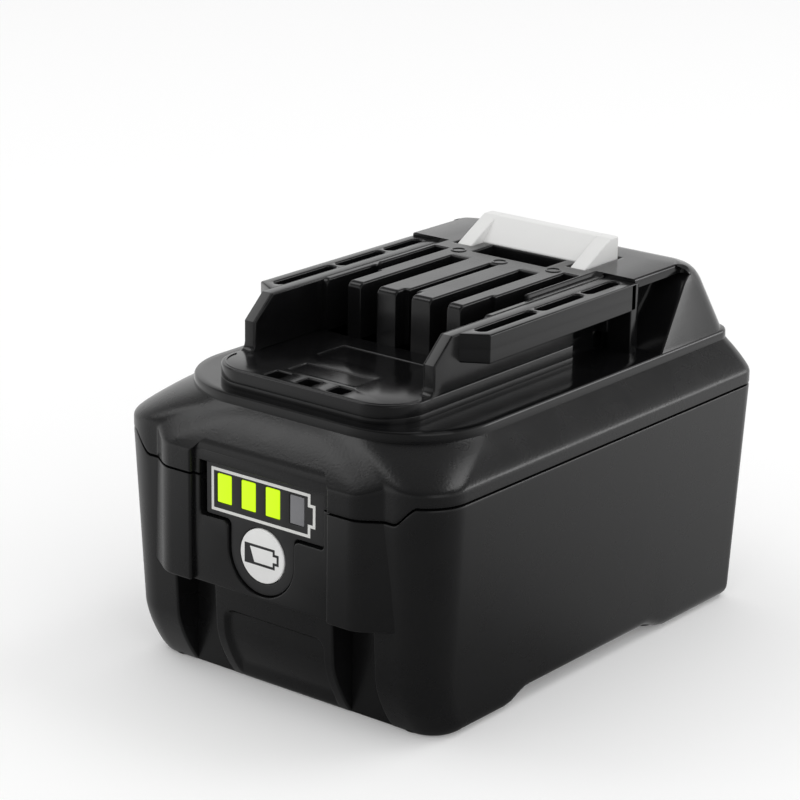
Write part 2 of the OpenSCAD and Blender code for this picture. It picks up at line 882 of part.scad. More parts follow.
// Place on the rear face at height z, moved out by g
function rear_face(z, g) = ledge_y1 - rear_tuck - rear_lean * (z - ledge_top) + g;

module release_button() {
    top_drop = 1;
    grip_pitch = 2.2;
    step_z = arm_z + 1.7;
    foot_y = cradle_y1 + 0.6;
    color("#232325") {
        along_x(-release_w / 2, release_w / 2)
            polygon([
                [foot_y, release_z0],
                [rear_face(release_z0, button_proud), release_z0],
                [rear_face(release_z1 - top_drop, button_proud), release_z1 - top_drop],
                [round_y + rear_round - 0.9, release_z1],
                [arm_y + 0.4, release_z1],
                [arm_y + 0.4, arm_knee_z],
                [arm_y + eps, arm_knee_z],
                [arm_y + eps, step_z],
                [foot_y, arm_z]
            ]);
        along_x(-release_w / 2 - 1.4, release_w / 2 + 1.4)
            polygon([
                [rear_face(arm_z + 0.4, -rear_wall_t - 2 * latch_fit), arm_z + 0.4],
                [rear_face(arm_knee_z, -rear_wall_t - 2 * latch_fit), arm_knee_z],
                [arm_y + eps, arm_knee_z],
                [arm_y + eps, arm_z + 0.4]
            ]);
        for (i = [-1:1]) {
            z = (release_z0 + release_z1) / 2 + i * grip_pitch;
            translate([-release_w / 2 + 2, rear_face(z, button_proud), z])
                rotate([0, 90, 0])
                    cylinder(r = grip_r, h = release_w - 4);
        }
    }
}

// Points of one turn-by-turn spring: a ring of sides about a helix
function spring_ring(k, n, sides, r, wire_r, h) =
    let (a = 360 * spring_turns * k / n, z = wire_r + (h - 2 * wire_r) * k / n)
    [for (s = [0:sides - 1])
        let (b = 360 * s / sides)
        [(r + wire_r * cos(b)) * cos(a), (r + wire_r * cos(b)) * sin(a), z + wire_r * sin(b)]];

module coil_spring(h) {
    sides = 6;
    n = ceil(spring_turns * 10);
    wire_r = spring_wire / 2;
    r = spring_d / 2 - wire_r;
    points = [for (k = [0:n]) each spring_ring(k, n, sides, r, wire_r, h)];
    skin = [for (k = [0:n - 1], s = [0:sides - 1])
        let (a = k * sides + s, b = k * sides + (s + 1) % sides)
        each [[a, b, a + sides], [b, b + sides, a + sides]]];
    caps = [[for (s = [sides - 1:-1:0]) s], [for (s = [0:sides - 1]) n * sides + s]];
    polyhedron(points, concat(skin, caps));
}

module latch_springs() {
    color("#b8bcc2")
        both_sides()
            translate([spring_x, spring_y, cradle_z])
                coil_spring(spring_l);
}

module latch_cradle() {
    color("#2e2e31") {
        difference() {
            box([-tower_in + seat_gap, hollow_y0 + seat_gap, lid_ceiling],
                [tower_in - seat_gap, cradle_y1, cradle_z]);
            both_sides()
                post(cradle_post, small_screw_r + screw_fit, lid_ceiling - cut, cradle_z + cut);
        }
        both_sides()
            post([spring_x, spring_y], stud_r, cradle_z - cut, cradle_z + stud_h);
    }
}

module cradle_screws() {
    color("#9a9da2")
        both_sides() {
            post(cradle_post, small_screw_r, lid_ceiling - eps, cradle_z + 5);
            post(cradle_post, small_screw_r * 2, lid_ceiling - 1.2, lid_ceiling);
        }
}

// Gauge

// Block of light bar i from y0 back to its lamp, grown by g
module bar_box(i, g, y0) {
    box([i * bar_pitch - bar_w / 2 - g, y0, bar_z - bar_h / 2 - g],
        [i * bar_pitch + bar_w / 2 + g, bar_end_y, bar_z + bar_h / 2 + g]);
}

module gauge_panel() {
    leg = 1.6;
    color("#2a2b2d")
        difference() {
            union() {
                along_y(gauge_y, gauge_back_y + eps)
                    gauge_outline(0);
                along_y(gauge_back_y, gauge_back_y + gauge_plate_t) {
                    gauge_outline(0);
                    translate([-gauge_w / 2 - gauge_rim, gauge_z - gauge_h / 2 - gauge_rim])
                        square([gauge_w + 2 * gauge_rim, gauge_h + 2 * gauge_rim]);
                }
                both_sides()
                    box([gauge_w / 2 - leg, gauge_back_y, gauge_z - leg / 2],
                        [gauge_w / 2, gauge_board_y, gauge_z + leg / 2]);
            }
            for (i = [-1.5:1:1.5])
                bar_box(i, bar_fit, gauge_y - cut);
            translate([0, gauge_y - cut, button_z])
                rotate([-90, 0, 0])
                    cylinder(r = button_r + button_fit, h = gauge_board_y - gauge_y);
        }
}

// One light bar, with its place i counted from the middle
module light_bar(i) {
    bar_box(i, 0, gauge_y);
}

module lit_light_bars() {
    color("#d4ff00")
        for (i = [-1.5:1:0.5])
            light_bar(i);
}

module unlit_light_bar() {
    color("#707174")
        light_bar(1.5);
}

module gauge_button() {
    stem_r = 1.8;
    flange_y = gauge_back_y + gauge_plate_t + 0.2;
    stem_end = gauge_board_y - switch_h - plunger_h - button_travel - 0.1;
    color("#f4f4f2")
        translate([0, 0, button_z])
            rotate([-90, 0, 0]) {
                translate([0, 0, gauge_y - 0.2])
                    cylinder(r = button_r, h = flange_y - gauge_y + 0.2 + eps);
                translate([0, 0, flange_y])
                    cylinder(r = button_r + 0.8, h = 0.5);
                translate([0, 0, flange_y])
                    cylinder(r = stem_r, h = stem_end - flange_y);
            }
}

module gauge_board() {
    color("#1d5b3a")
        box([-gauge_board_half_w, gauge_board_y, gauge_board_z[0]],
            [gauge_board_half_w, gauge_board_y + gauge_board_t, gauge_board_z[1]]);
}

module gauge_leds() {
    led_w = 1.6;
    led_h = 2.4;
    led_t = 0.8;
    color("#f5f0c8")
        for (i = [-1.5:1:1.5])
            box([i * bar_pitch - led_w / 2, gauge_board_y - led_t, bar_z - led_h / 2],
                [i * bar_pitch + led_w / 2, gauge_board_y, bar_z + led_h / 2]);
}

module gauge_switch() {
    half = 3;
    plunger_r = 1.6;
    color("#3a3b3d") {
        box([-half, gauge_board_y - switch_h, button_z - half],
            [half, gauge_board_y, button_z + half]);
        translate([0, gauge_board_y - switch_h - plunger_h, button_z])
            rotate([-90, 0, 0])
                cylinder(r = plunger_r, h = plunger_h + eps);
    }
}

module gauge_ribbon() {
    ribbon_t = 0.5;
    ribbon_w = 8;
    back = gauge_board_y + gauge_board_t;
    top = board_z - seat_gap;
    color("#c9c4b4")
        along_x(-ribbon_w / 2, ribbon_w / 2)
            polygon([
                [back, gauge_z - 2],
                [back, top],
                [board_y0 + 2, top],
                [board_y0 + 2, top - ribbon_t],
                [back + ribbon_t, top - ribbon_t],
                [back + ribbon_t, gauge_z - 2]
            ]);
}

// Cells and what joins them

// One cell at column and row, with its raised terminal at the front or at the rear
module cell(column, row, front_positive) {
    can_y0 = front_positive ? cell_y0 + cap_h : cell_y0;
    cap_y = front_positive ? cell_y0 : cell_y1 - cap_h - eps;
    color("#3d7fb8")
        translate([(column - 1) * cell_pitch, 0, row_z[row]])
            rotate([-90, 0, 0]) {
                translate([0, 0, can_y0])
                    cylinder(r = cell_r, h = cell_l - cap_h);
                translate([0, 0, cap_y])
                    cylinder(r = cap_r, h = cap_h + eps);
            }
}

module cell_1() { cell(0, 0, true); }
module cell_2() { cell(0, 1, true); }
module cell_3() { cell(1, 0, false); }
module cell_4() { cell(1, 1, false); }
module cell_5() { cell(2, 0, true); }
module cell_6() { cell(2, 1, true); }

// Paper ring round each raised cell terminal
module cell_rings() {
    ring_t = 0.3;
    color("#e8e2d0")
        for (column = [0:2], z = row_z) {
            y = column == 1 ? cell_y1 - cap_h : cell_y0 + cap_h - ring_t;
            translate([(column - 1) * cell_pitch, y, z])
                rotate([-90, 0, 0])
                    difference() {
                        cylinder(r = cell_r - 0.6, h = ring_t);
                        translate([0, 0, -cut])
                            cylinder(r = cap_r + 0.8, h = ring_t + 2 * cut);
                    }
        }
}

// Frame with six bores and two seats for the main board's screws
module cell_holder(y0, y1, screw_y) {
    bore_r = cell_r + 0.1;
    corner = cell_r + holder_skin;
    color("#47484b")
        difference() {
            union() {
                along_y(y0, y1) {
                    translate([-cell_pitch, row_z[0] - corner])
                        square([2 * cell_pitch, pack_top - row_z[0] + corner]);
                    translate([-pack_half_w, row_z[0]])
                        square([2 * pack_half_w, cell_pitch]);
                    for (x = [-cell_pitch, cell_pitch], z = row_z)
                        translate([x, z])
                            circle(corner);
                }
                both_sides()
                    post([screw_x, screw_y], seat_r, pack_top - cut, board_z);
            }
            for (column = [-1:1], z = row_z)
                translate([column * cell_pitch, y0 - cut, z])
                    rotate([-90, 0, 0])
                        cylinder(r = bore_r, h = y1 - y0 + 2 * cut);
            both_sides()
                post([screw_x, screw_y], small_screw_r + screw_fit, board_z - 6, board_z + cut);
        }
}

module holder_front() {
    cell_holder(cell_y0 + holder_in, cell_y0 + holder_l, screw_rows[0]);
}

module holder_rear() {
    cell_holder(cell_y1 - holder_l, cell_y1 - holder_in, screw_rows[1]);
}

// Upright strap over the two cells of one column
module strap(column, y) {
    overlap = 5;
    x = (column - 1) * cell_pitch;
    box([x - strap_w / 2, y, row_z[0] - overlap], [x + strap_w / 2, y + strap_t, row_z[1] + overlap]);
}

// Cross bar between the straps of two neighbouring columns
module strap_bridge(column, y) {
    bridge_w = 6;
    for (z = row_z)
        box([(column - 1) * cell_pitch, y, z - bridge_w / 2],
            [column * cell_pitch, y + strap_t, z + bridge_w / 2]);
}

// Tab from a strap up and over to the main board
module strap_tab(column, y, board_edge) {
    tab_w = 5;
    x = (column - 1) * cell_pitch;
    box([x - tab_w / 2, y, row_z[1]], [x + tab_w / 2, y + strap_t, board_top + strap_t]);
    box([x - tab_w / 2, min(y, board_edge), board_top],
        [x + tab_w / 2, max(y + strap_t, board_edge), board_top + strap_t]);
}

module positive_strap() {
    color("#c7cace") {
        strap(0, cell_y0 - strap_t);
        strap_tab(0, cell_y0 - strap_t, board_y0 + 3);
    }
}

module front_link_strap() {
    color("#c7cace") {
        strap(1, cell_y0 - strap_t);
        strap(2, cell_y0 - strap_t);
        strap_bridge(1, cell_y0 - strap_t);
    }
}

module rear_link_strap() {
    color("#c7cace") {
        strap(0, cell_y1);
        strap(1, cell_y1);
        strap_bridge(0, cell_y1);
    }
}

module negative_strap() {
    color("#c7cace") {
        strap(2, cell_y1);
        strap_tab(2, cell_y1, board_y1 - 3);
    }
}

// Main board and what stands on it

module main_board() {
    color("#1d5b3a")
        difference() {
            box([-board_w / 2, board_y0, board_z], [board_w / 2, board_y1, board_top]);
            both_sides()
                for (y = screw_rows)
                    post([screw_x, y], small_screw_r + screw_fit, board_z - cut, board_top + cut);
        }
}

module board_screws() {
    color("#9a9da2")
        both_sides()
            for (y = screw_rows) {
                post([screw_x, y], small_screw_r, board_z - 5, board_top + eps);
                post([screw_x, y], small_screw_r * 2, board_top, board_top + small_head_h);
            }
}

// Fork contact of two leaves on a foot, at place x
module fork_terminal(x) {
    box([x - terminal_half_w, terminal_y[0], board_top],
        [x + terminal_half_w, terminal_y[1], board_top + terminal_leaf]);
    for (leaf = [x - terminal_half_w, x + terminal_half_w - terminal_leaf])
        box([leaf, terminal_y[0], board_top], [leaf + terminal_leaf, terminal_y[1], terminal_top]);
}

module positive_terminal() {
    color("#c9a24a")
        fork_terminal(-power_slot_x);
}

module negative_terminal() {
    color("#c9a24a")
        fork_terminal(power_slot_x);
}

module signal_terminals() {
    color("#d8b560")
        both_sides()
            box([outer_slot_x - terminal_leaf / 2, signal_y[0], board_top],
                [outer_slot_x + terminal_leaf / 2, signal_y[1], terminal_top]);
}

module power_transistors() {
    color("#222326")
        both_sides()
            translate([outer_slot_x + chip_gap, terminal_y[1] + chip_gap / 2, board_top])
                cube([transistor_l, transistor_w, chip_t]);
}

module controller_chip() {
    color("#222326")
        translate([-chip_w / 2, terminal_y[0] - chip_w - chip_gap, board_top])
            cube([chip_w, chip_w, chip_t]);
}

// Bead between four cells, on two leads from the main board
module thermistor() {
    bead_r = 1.2;
    bead_z = [row_z[1] + 5.2, row_z[1] + 8];
    lead_r = 0.25;
    lead_x = 0.7;
    color("#30483a")
        translate([screw_x, 0, 0]) {
            post([0, 0], bead_r, bead_z[0], bead_z[1]);
            for (x = [-lead_x, lead_x])
                post([x, 0], lead_r, bead_z[1] - eps, board_z);
        }
}

module insulation_sheet() {
    sheet_z = row_z[1] + cell_r + 0.1;
    sheet_t = 0.3;
    color("#d9d3bd")
        difference() {
            box([-pack_half_w, cell_y0 + holder_l + seat_gap, sheet_z],
                [pack_half_w, cell_y1 - holder_l - seat_gap, sheet_z + sheet_t]);
            post([screw_x, 0], 2, sheet_z - cut, sheet_z + cut);
        }
}

module case_screws() {
    color("#9a9da2")
        at_case_screws() {
            translate([0, 0, well_top - eps])
                cylinder(r = screw_r, h = screw_l + eps);
            translate([0, 0, well_top - head_h])
                cylinder(r = screw_head_r, h = head_h);
        }
}

lower_case();
upper_case();
latch_hook();
release_button();
latch_springs();
latch_cradle();
cradle_screws();
gauge_panel();
lit_light_bars();
unlit_light_bar();
gauge_button();
gauge_board();
gauge_leds();
gauge_switch();
gauge_ribbon();
cell_1();
cell_2();
cell_3();
cell_4();
cell_5();
cell_6();
cell_rings();
holder_front();
holder_rear();
positive_strap();
negative_strap();
front_link_strap();
rear_link_strap();
main_board();
board_screws();
positive_terminal();
negative_terminal();
signal_terminals();
power_transistors();
controller_chip();
thermistor();
insulation_sheet();
case_screws();
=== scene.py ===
# %% [markdown]
# # A sliding battery pack for a cordless tool
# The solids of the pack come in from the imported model. This lesson gives them their looks: the
# moulded shells are worked out again as smooth surfaces with soft edges, the prints and lights are
# laid on, and every solid that stays gets a finish of its own. All sizes here are in millimetres
# and become metres only when a mesh is made.

# %% Load the solids
import json
import bpy
import bmesh
import numpy as np
from mathutils import Matrix, Vector
from mathutils.geometry import delaunay_2d_cdt


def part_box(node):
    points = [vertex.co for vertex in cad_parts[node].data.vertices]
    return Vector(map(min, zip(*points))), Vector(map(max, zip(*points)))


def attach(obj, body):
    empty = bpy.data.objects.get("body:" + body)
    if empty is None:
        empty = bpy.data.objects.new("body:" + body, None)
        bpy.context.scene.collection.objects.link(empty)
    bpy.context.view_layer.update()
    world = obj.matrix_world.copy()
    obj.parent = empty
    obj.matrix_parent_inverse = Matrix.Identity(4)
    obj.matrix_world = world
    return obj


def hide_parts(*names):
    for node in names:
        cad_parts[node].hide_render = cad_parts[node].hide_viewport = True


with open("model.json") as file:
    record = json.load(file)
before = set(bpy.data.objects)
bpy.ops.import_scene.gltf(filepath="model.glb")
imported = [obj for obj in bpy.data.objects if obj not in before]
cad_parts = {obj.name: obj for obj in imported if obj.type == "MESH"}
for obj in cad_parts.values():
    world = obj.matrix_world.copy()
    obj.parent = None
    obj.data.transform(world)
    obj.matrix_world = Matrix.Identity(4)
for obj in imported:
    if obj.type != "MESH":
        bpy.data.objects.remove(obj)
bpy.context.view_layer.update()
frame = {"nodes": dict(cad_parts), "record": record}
MM = 0.001
scene = bpy.context.scene
scene.view_settings.view_transform = "Standard"

# %% [markdown]
# ## Camera
# The photograph was taken with a long lens from the front right, a little above the pack. A camera
# could be placed by eye, but here its turn, lift and distance were solved from edges of known
# length, so that a shape lands on the pixel where the photograph has it.

# %% Camera
def look(turn, lift, roll):
    """Axes of the camera: right, up and back, turned about Z, lifted over the horizon and rolled."""
    a, e, r = np.radians([turn, lift, roll])
    back = np.array([np.sin(a) * np.cos(e), -np.cos(a) * np.cos(e), np.sin(e)])
    right = np.array([np.cos(a), np.sin(a), 0.0])
    up = np.cross(back, right)
    return np.array([np.cos(r) * right + np.sin(r) * up, np.cos(r) * up - np.sin(r) * right, back])


axes = look(38.177, 17.801, 0.908)
eye = axes.T @ np.array([-5.379, 37.89, 484.324])
camera_data = bpy.data.cameras.new("camera")
camera_data.sensor_width = 36.0
camera_data.lens = 2873.11 * 36.0 / 800.0
camera_data.shift_x = (400.0 - 405.014) / 800.0
camera_data.shift_y = (398.204 - 400.0) / 800.0
camera_data.clip_start = 0.01
camera = bpy.data.objects.new("camera", camera_data)
scene.collection.objects.link(camera)
pose = np.eye(4)
pose[:3, :3] = axes.T
pose[:3, 3] = eye * MM
camera.matrix_world = Matrix(pose.tolist())
scene.camera = camera
print("camera at", np.round(eye, 1), "mm")

# %% [markdown]
# ## Finishes
# Moulded plastic is never one flat colour: the tool that shaped it leaves a fine grain, the gloss
# changes a little from place to place, and handling dulls it. Each finish mixes noise at two
# scales, a coarse one for the tone and a fine one for the grain, on the solid's own coordinates.

# %% Moulded plastic
def noise(nodes, links, at, size, detail):
    """Noise whose blotches are about size millimetres across."""
    n = nodes.new("ShaderNodeTexNoise")
    n.inputs["Scale"].default_value = 1.0 / (size * MM)
    n.inputs["Detail"].default_value = detail
    links.new(at, n.inputs["Vector"])
    return n.outputs["Fac"]


def between(nodes, links, value, low, high, first=0.3, last=0.7):
    """Maps the middle of a noise to the range from low to high."""
    n = nodes.new("ShaderNodeMapRange")
    n.inputs["From Min"].default_value = first
    n.inputs["From Max"].default_value = last
    n.inputs["To Min"].default_value = low
    n.inputs["To Max"].default_value = high
    links.new(value, n.inputs["Value"])
    return n.outputs["Result"]


def two_tones(nodes, links, fac, low, high):
    """Colour between two tones."""
    n = nodes.new("ShaderNodeMix")
    n.data_type = "RGBA"
    n.inputs["A"].default_value = (*low, 1.0)
    n.inputs["B"].default_value = (*high, 1.0)
    links.new(fac, n.inputs["Factor"])
    return n.outputs["Result"]


finishes = {}


def moulded(name, colour, rough, grain, relief, gloss=0.5, swing=0.06, tone=0.15, metal=0.0, patch=7.0):
    """Finish with a tone that drifts, a roughness that swings, and a grain of the given size and
    relief in millimetres."""
    m = bpy.data.materials.new(name)
    m.use_nodes = True
    nodes, links = m.node_tree.nodes, m.node_tree.links
    shader = nodes["Principled BSDF"]
    shader.inputs["Metallic"].default_value = metal
    shader.inputs["Specular IOR Level"].default_value = gloss
    at = nodes.new("ShaderNodeTexCoord").outputs["Object"]
    coarse = noise(nodes, links, at, patch, 3.0)
    fine = noise(nodes, links, at, grain, 2.0)
    c = np.array(colour)
    drift = between(nodes, links, coarse, 0.0, 1.0)
    links.new(two_tones(nodes, links, drift, c * (1 - tone), c * (1 + tone)), shader.inputs["Base Color"])
    links.new(between(nodes, links, coarse, rough - swing, rough + swing), shader.inputs["Roughness"])
    bump = nodes.new("ShaderNodeBump")
    bump.inputs["Strength"].default_value = 1.0
    bump.inputs["Distance"].default_value = relief * MM
    links.new(fine, bump.inputs["Height"])
    links.new(bump.outputs["Normal"], shader.inputs["Normal"])
    finishes[name] = m
    return m


tub_black = moulded("tub_black", (0.0052, 0.0052, 0.0055), 0.28, 0.35, 0.006, swing=0.03, tone=0.08)
lid_black = moulded("lid_black", (0.0052, 0.0052, 0.0055), 0.27, 0.45, 0.022, swing=0.03, tone=0.08)
tower_black = moulded("tower_black", (0.0042, 0.0042, 0.0045), 0.18, 0.6, 0.002, swing=0.03)
latch_white = moulded("latch_white", (0.80, 0.80, 0.79), 0.34, 0.5, 0.003, tone=0.02)
release_black = moulded("release_black", (0.014, 0.014, 0.015), 0.42, 0.3, 0.006)
gauge_dark = moulded("gauge_dark", (0.018, 0.018, 0.0185), 0.42, 0.4, 0.002)
light_off = moulded("light_off", (0.20, 0.20, 0.21), 0.35, 0.8, 0.004, tone=0.1)
button_white = moulded("button_white", (0.82, 0.82, 0.81), 0.38, 0.4, 0.003, tone=0.02)
print("plastics made")

# %% [markdown]
# ## Finishes of the inner parts
# The cells, boards and contacts are hidden in use, but the pack comes apart, so they are finished
# too: shrink sleeve, paper rings, glass-fibre board, nickel strip, brass and plated steel.

# %% Inner finishes
moulded("board_green", (0.012, 0.085, 0.042), 0.32, 0.25, 0.006, tone=0.3)
moulded("lamp_cream", (0.78, 0.70, 0.42), 0.30, 0.3, 0.003)
moulded("part_black", (0.018, 0.018, 0.02), 0.48, 0.15, 0.006)
moulded("ribbon_grey", (0.55, 0.52, 0.46), 0.45, 0.9, 0.01)
moulded("cell_sleeve", (0.035, 0.16, 0.34), 0.28, 1.6, 0.008, tone=0.12)
moulded("ring_paper", (0.70, 0.66, 0.55), 0.85, 0.2, 0.02, gloss=0.2)
moulded("holder_grey", (0.17, 0.175, 0.18), 0.52, 0.4, 0.012)
moulded("nickel", (0.62, 0.60, 0.56), 0.30, 0.5, 0.004, metal=1.0)
moulded("contact_brass", (0.72, 0.50, 0.19), 0.26, 0.5, 0.004, metal=1.0)
moulded("screw_steel", (0.50, 0.51, 0.53), 0.32, 0.2, 0.006, metal=1.0)
moulded("sheet_cream", (0.72, 0.67, 0.52), 0.70, 0.35, 0.015, gloss=0.3)
moulded("bead_green", (0.03, 0.07, 0.05), 0.35, 0.4, 0.006)

light_on = moulded("light_on", (0.10, 0.16, 0.004), 0.35, 0.8, 0.002, tone=0.05)
lit = light_on.node_tree.nodes["Principled BSDF"]
lit.inputs["Emission Color"].default_value = (0.66, 1.0, 0.0, 1.0)
lit.inputs["Emission Strength"].default_value = 0.9

for part in frame["record"]["subparts"]:
    mesh = frame["nodes"][part["node"]].data
    mesh.materials.clear()
    mesh.materials.append(finishes[part["material_slot"]])
print("finishes", len(finishes))

# %% [markdown]
# ## Meshes from arrays
# Every new surface is an array of points. A grid gives quads by counting, and a flat face with
# holes is cut into triangles. Patches that touch are joined into one piece, their seams are
# merged, and edges sharper than a set angle stay crisp while the rest is shaded smooth.

# %% Grids, caps and pieces
def quads(rows, cols, wrap=False):
    """Faces of a grid: each point joins its right, upper right and upper neighbour; wrap closes the rows."""
    i = np.arange(rows - 1)[:, None]
    j = np.arange(cols if wrap else cols - 1)[None, :]
    k = (j + 1) % cols
    return np.stack([i * cols + j, i * cols + k, (i + 1) * cols + k, (i + 1) * cols + j], -1).reshape(-1, 4)


def sheet(points, wrap=False, keep=None):
    """Patch over a grid of points (rows, cols, 3); keep says which grid cells stay."""
    rows, cols = points.shape[:2]
    faces = quads(rows, cols, wrap)
    if keep is not None:
        faces = faces[keep.reshape(-1)]
    return points.reshape(-1, 3), faces


def cap(loops, height, up):
    """Flat face between an outer loop and the loops of its holes: the triangles that lie in an odd
    number of loops."""
    flat = np.concatenate(loops)
    ends = np.cumsum([len(loop) for loop in loops])
    after = np.arange(1, len(flat) + 1)
    after[ends - 1] = np.concatenate([[0], ends[:-1]])
    edges = np.column_stack([np.arange(len(flat)), after]).tolist()
    points, _, tris, *_ = delaunay_2d_cdt([Vector(q) for q in flat.tolist()], edges, [], 0, 1e-5)
    points, tris = np.array(points), np.array(tris)
    middle = points[tris].mean(1)
    a, b = flat, flat[after]
    crossed = (a[None, :, 1] > middle[:, None, 1]) != (b[None, :, 1] > middle[:, None, 1])
    rise = np.where(a[:, 1] == b[:, 1], 1.0, b[:, 1] - a[:, 1])
    hit = a[None, :, 0] + (middle[:, None, 1] - a[None, :, 1]) / rise[None] * (b - a)[None, :, 0]
    tris = tris[(crossed & (hit > middle[:, None, 0])).sum(1) % 2 == 1]
    a, b, c = points[tris[:, 0]], points[tris[:, 1]], points[tris[:, 2]]
    turn = (b - a)[:, 0] * (c - a)[:, 1] - (b - a)[:, 1] * (c - a)[:, 0]
    tris[(turn > 0) != up] = tris[(turn > 0) != up][:, ::-1]
    return np.column_stack([points, np.full(len(points), float(height))]), tris


def piece(name, patches, finish, body, nodes=(), angle=32.0):
    """Joins patches into one object that rides on a body and stands for the given solids."""
    points, faces, start = [], [], 0
    for p, f in patches:
        points.append(np.asarray(p, float).reshape(-1, 3))
        faces += (np.asarray(f) + start).tolist()
        start += len(points[-1])
    mesh = bpy.data.meshes.new(name)
    mesh.from_pydata((np.concatenate(points) * MM).tolist(), [], faces)
    work = bmesh.new()
    work.from_mesh(mesh)
    bmesh.ops.remove_doubles(work, verts=work.verts, dist=0.002 * MM)
    bmesh.ops.dissolve_degenerate(work, edges=work.edges, dist=0.0005 * MM)
    work.to_mesh(mesh)
    work.free()
    mesh.shade_smooth()
    mesh.set_sharp_from_angle(angle=np.radians(angle))
    mesh.materials.append(finish)
    obj = bpy.data.objects.new(name, mesh)
    scene.collection.objects.link(obj)
    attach(obj, body)
    if nodes:
        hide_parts(*nodes)
    print(name, len(mesh.vertices), "points", len(mesh.polygons), "faces")
    return obj


def spread(*runs):
    """Sorted values of several evenly spaced runs, each (first, last, count)."""
    return np.unique(np.round(np.concatenate([np.linspace(*r) for r in runs]), 4))


def mirrored(half):
    """Values from the right half, repeated on the left."""
    return np.unique(np.concatenate([-half, half]))


def circle(x, y, radius, count=32):
    """Points evenly spaced round a circle."""
    a = np.linspace(0, 2 * np.pi, count + 1)[:-1]
    return np.array([x, y]) + radius * np.stack([np.cos(a), np.sin(a)], 1)


print("one cell of a grid", quads(2, 2)[0])

# %% [markdown]
# ## Plates with soft edges
# Most of the tower is made of plates: walls, rails, the hook. A plate is an outline pushed along
# one axis. Real moulded edges are never sharp, so the outline is carried along a profile that
# turns a quarter circle at both ends, and the thin highlight on every edge comes from that.

# %% Outlines and plates
def rounded(corners, radii, steps=7):
    """Closed outline whose corners are arcs that touch both neighbouring sides."""
    p = np.asarray(corners, float)
    r = np.broadcast_to(np.asarray(radii, float), len(p))
    runs = []
    for a, b, c, radius in zip(np.roll(p, 1, 0), p, np.roll(p, -1, 0), r):
        if radius <= 0:
            runs.append(b[None])
            continue
        u, v = (a - b) / np.linalg.norm(a - b), (c - b) / np.linalg.norm(c - b)
        half = np.arccos(np.clip(u @ v, -1, 1)) / 2
        centre = b + (u + v) / np.linalg.norm(u + v) * radius / np.sin(half)
        first, last = b + u * radius / np.tan(half) - centre, b + v * radius / np.tan(half) - centre
        turn = np.pi - 2 * half
        t = np.linspace(0, 1, steps)[:, None]
        runs.append(centre + (np.sin((1 - t) * turn) * first + np.sin(t * turn) * last) / np.sin(turn))
    return np.concatenate(runs)


def outward(outline):
    """Offset directions of an outline that runs anticlockwise: one millimetre along them moves every
    side out by one."""
    e = np.roll(outline, -1, 0) - outline
    n = np.stack([e[:, 1], -e[:, 0]], 1) / np.linalg.norm(e, axis=1)[:, None]
    before = np.roll(n, 1, 0)
    return (n + before) / (1 + (n * before).sum(1))[:, None]


def soft_edges(low, high, r_low, r_high, steps=5):
    """Pairs of inset and height: a quarter circle, a straight side and a quarter circle."""
    a = np.linspace(0, np.pi / 2, steps)
    first = np.stack([r_low * (1 - np.sin(a)), low + r_low * (1 - np.cos(a))], 1)
    last = np.stack([r_high * (1 - np.cos(a)), high - r_high * (1 - np.sin(a))], 1)
    return np.concatenate([first, last])


def stand(points, axis):
    """Turns (a, b, height) into (x, y, z): the height lies along the named axis."""
    order = {"z": (0, 1, 2), "x": (2, 0, 1), "y": (0, 2, 1)}[axis]
    return points[..., order]


def plate(outline, low, high, r_low=0.25, r_high=0.25, holes=(), axis="z", steps=5):
    """Plate between two heights along an axis: its outline and its holes are carried along a
    soft-edged profile."""
    profile = soft_edges(low, high, r_low, r_high, steps)
    loops = [outline] + [h[::-1] for h in holes]
    patches, bottoms, tops = [], [], []
    for loop in loops:
        n = outward(loop)
        rings = loop[None] - profile[:, 0, None, None] * n[None]
        height = np.broadcast_to(profile[:, 1, None, None], (*rings.shape[:2], 1))
        patches.append(sheet(np.concatenate([rings, height], -1), wrap=True))
        bottoms.append(rings[0])
        tops.append(rings[-1])
    patches += [cap(tops, high, True), cap(bottoms, low, False)]
    flip = axis == "y"
    return [(stand(p, axis), f[:, ::-1] if flip else f) for p, f in patches]


def both(patches):
    """The patches and their mirror images across X."""
    return patches + [(p * np.array([-1.0, 1.0, 1.0]), f[:, ::-1]) for p, f in patches]


def rect(x0, x1, y0, y1):
    """Corners of a rectangle, anticlockwise."""
    return np.array([[x0, y0], [x1, y0], [x1, y1], [x0, y1]], float)


print("edge profile", soft_edges(0.0, 2.0, 0.25, 0.25).shape)

# %% [markdown]
# ## Plan of the case
# Seen from above the case is a rectangle with wide corners at the gauge end and tighter ones at
# the latch end. The lid's ledge is a smaller rectangle of the same kind. Both are walked in step,
# so that a point of one belongs to a point of the other and the shoulder can be stretched between.

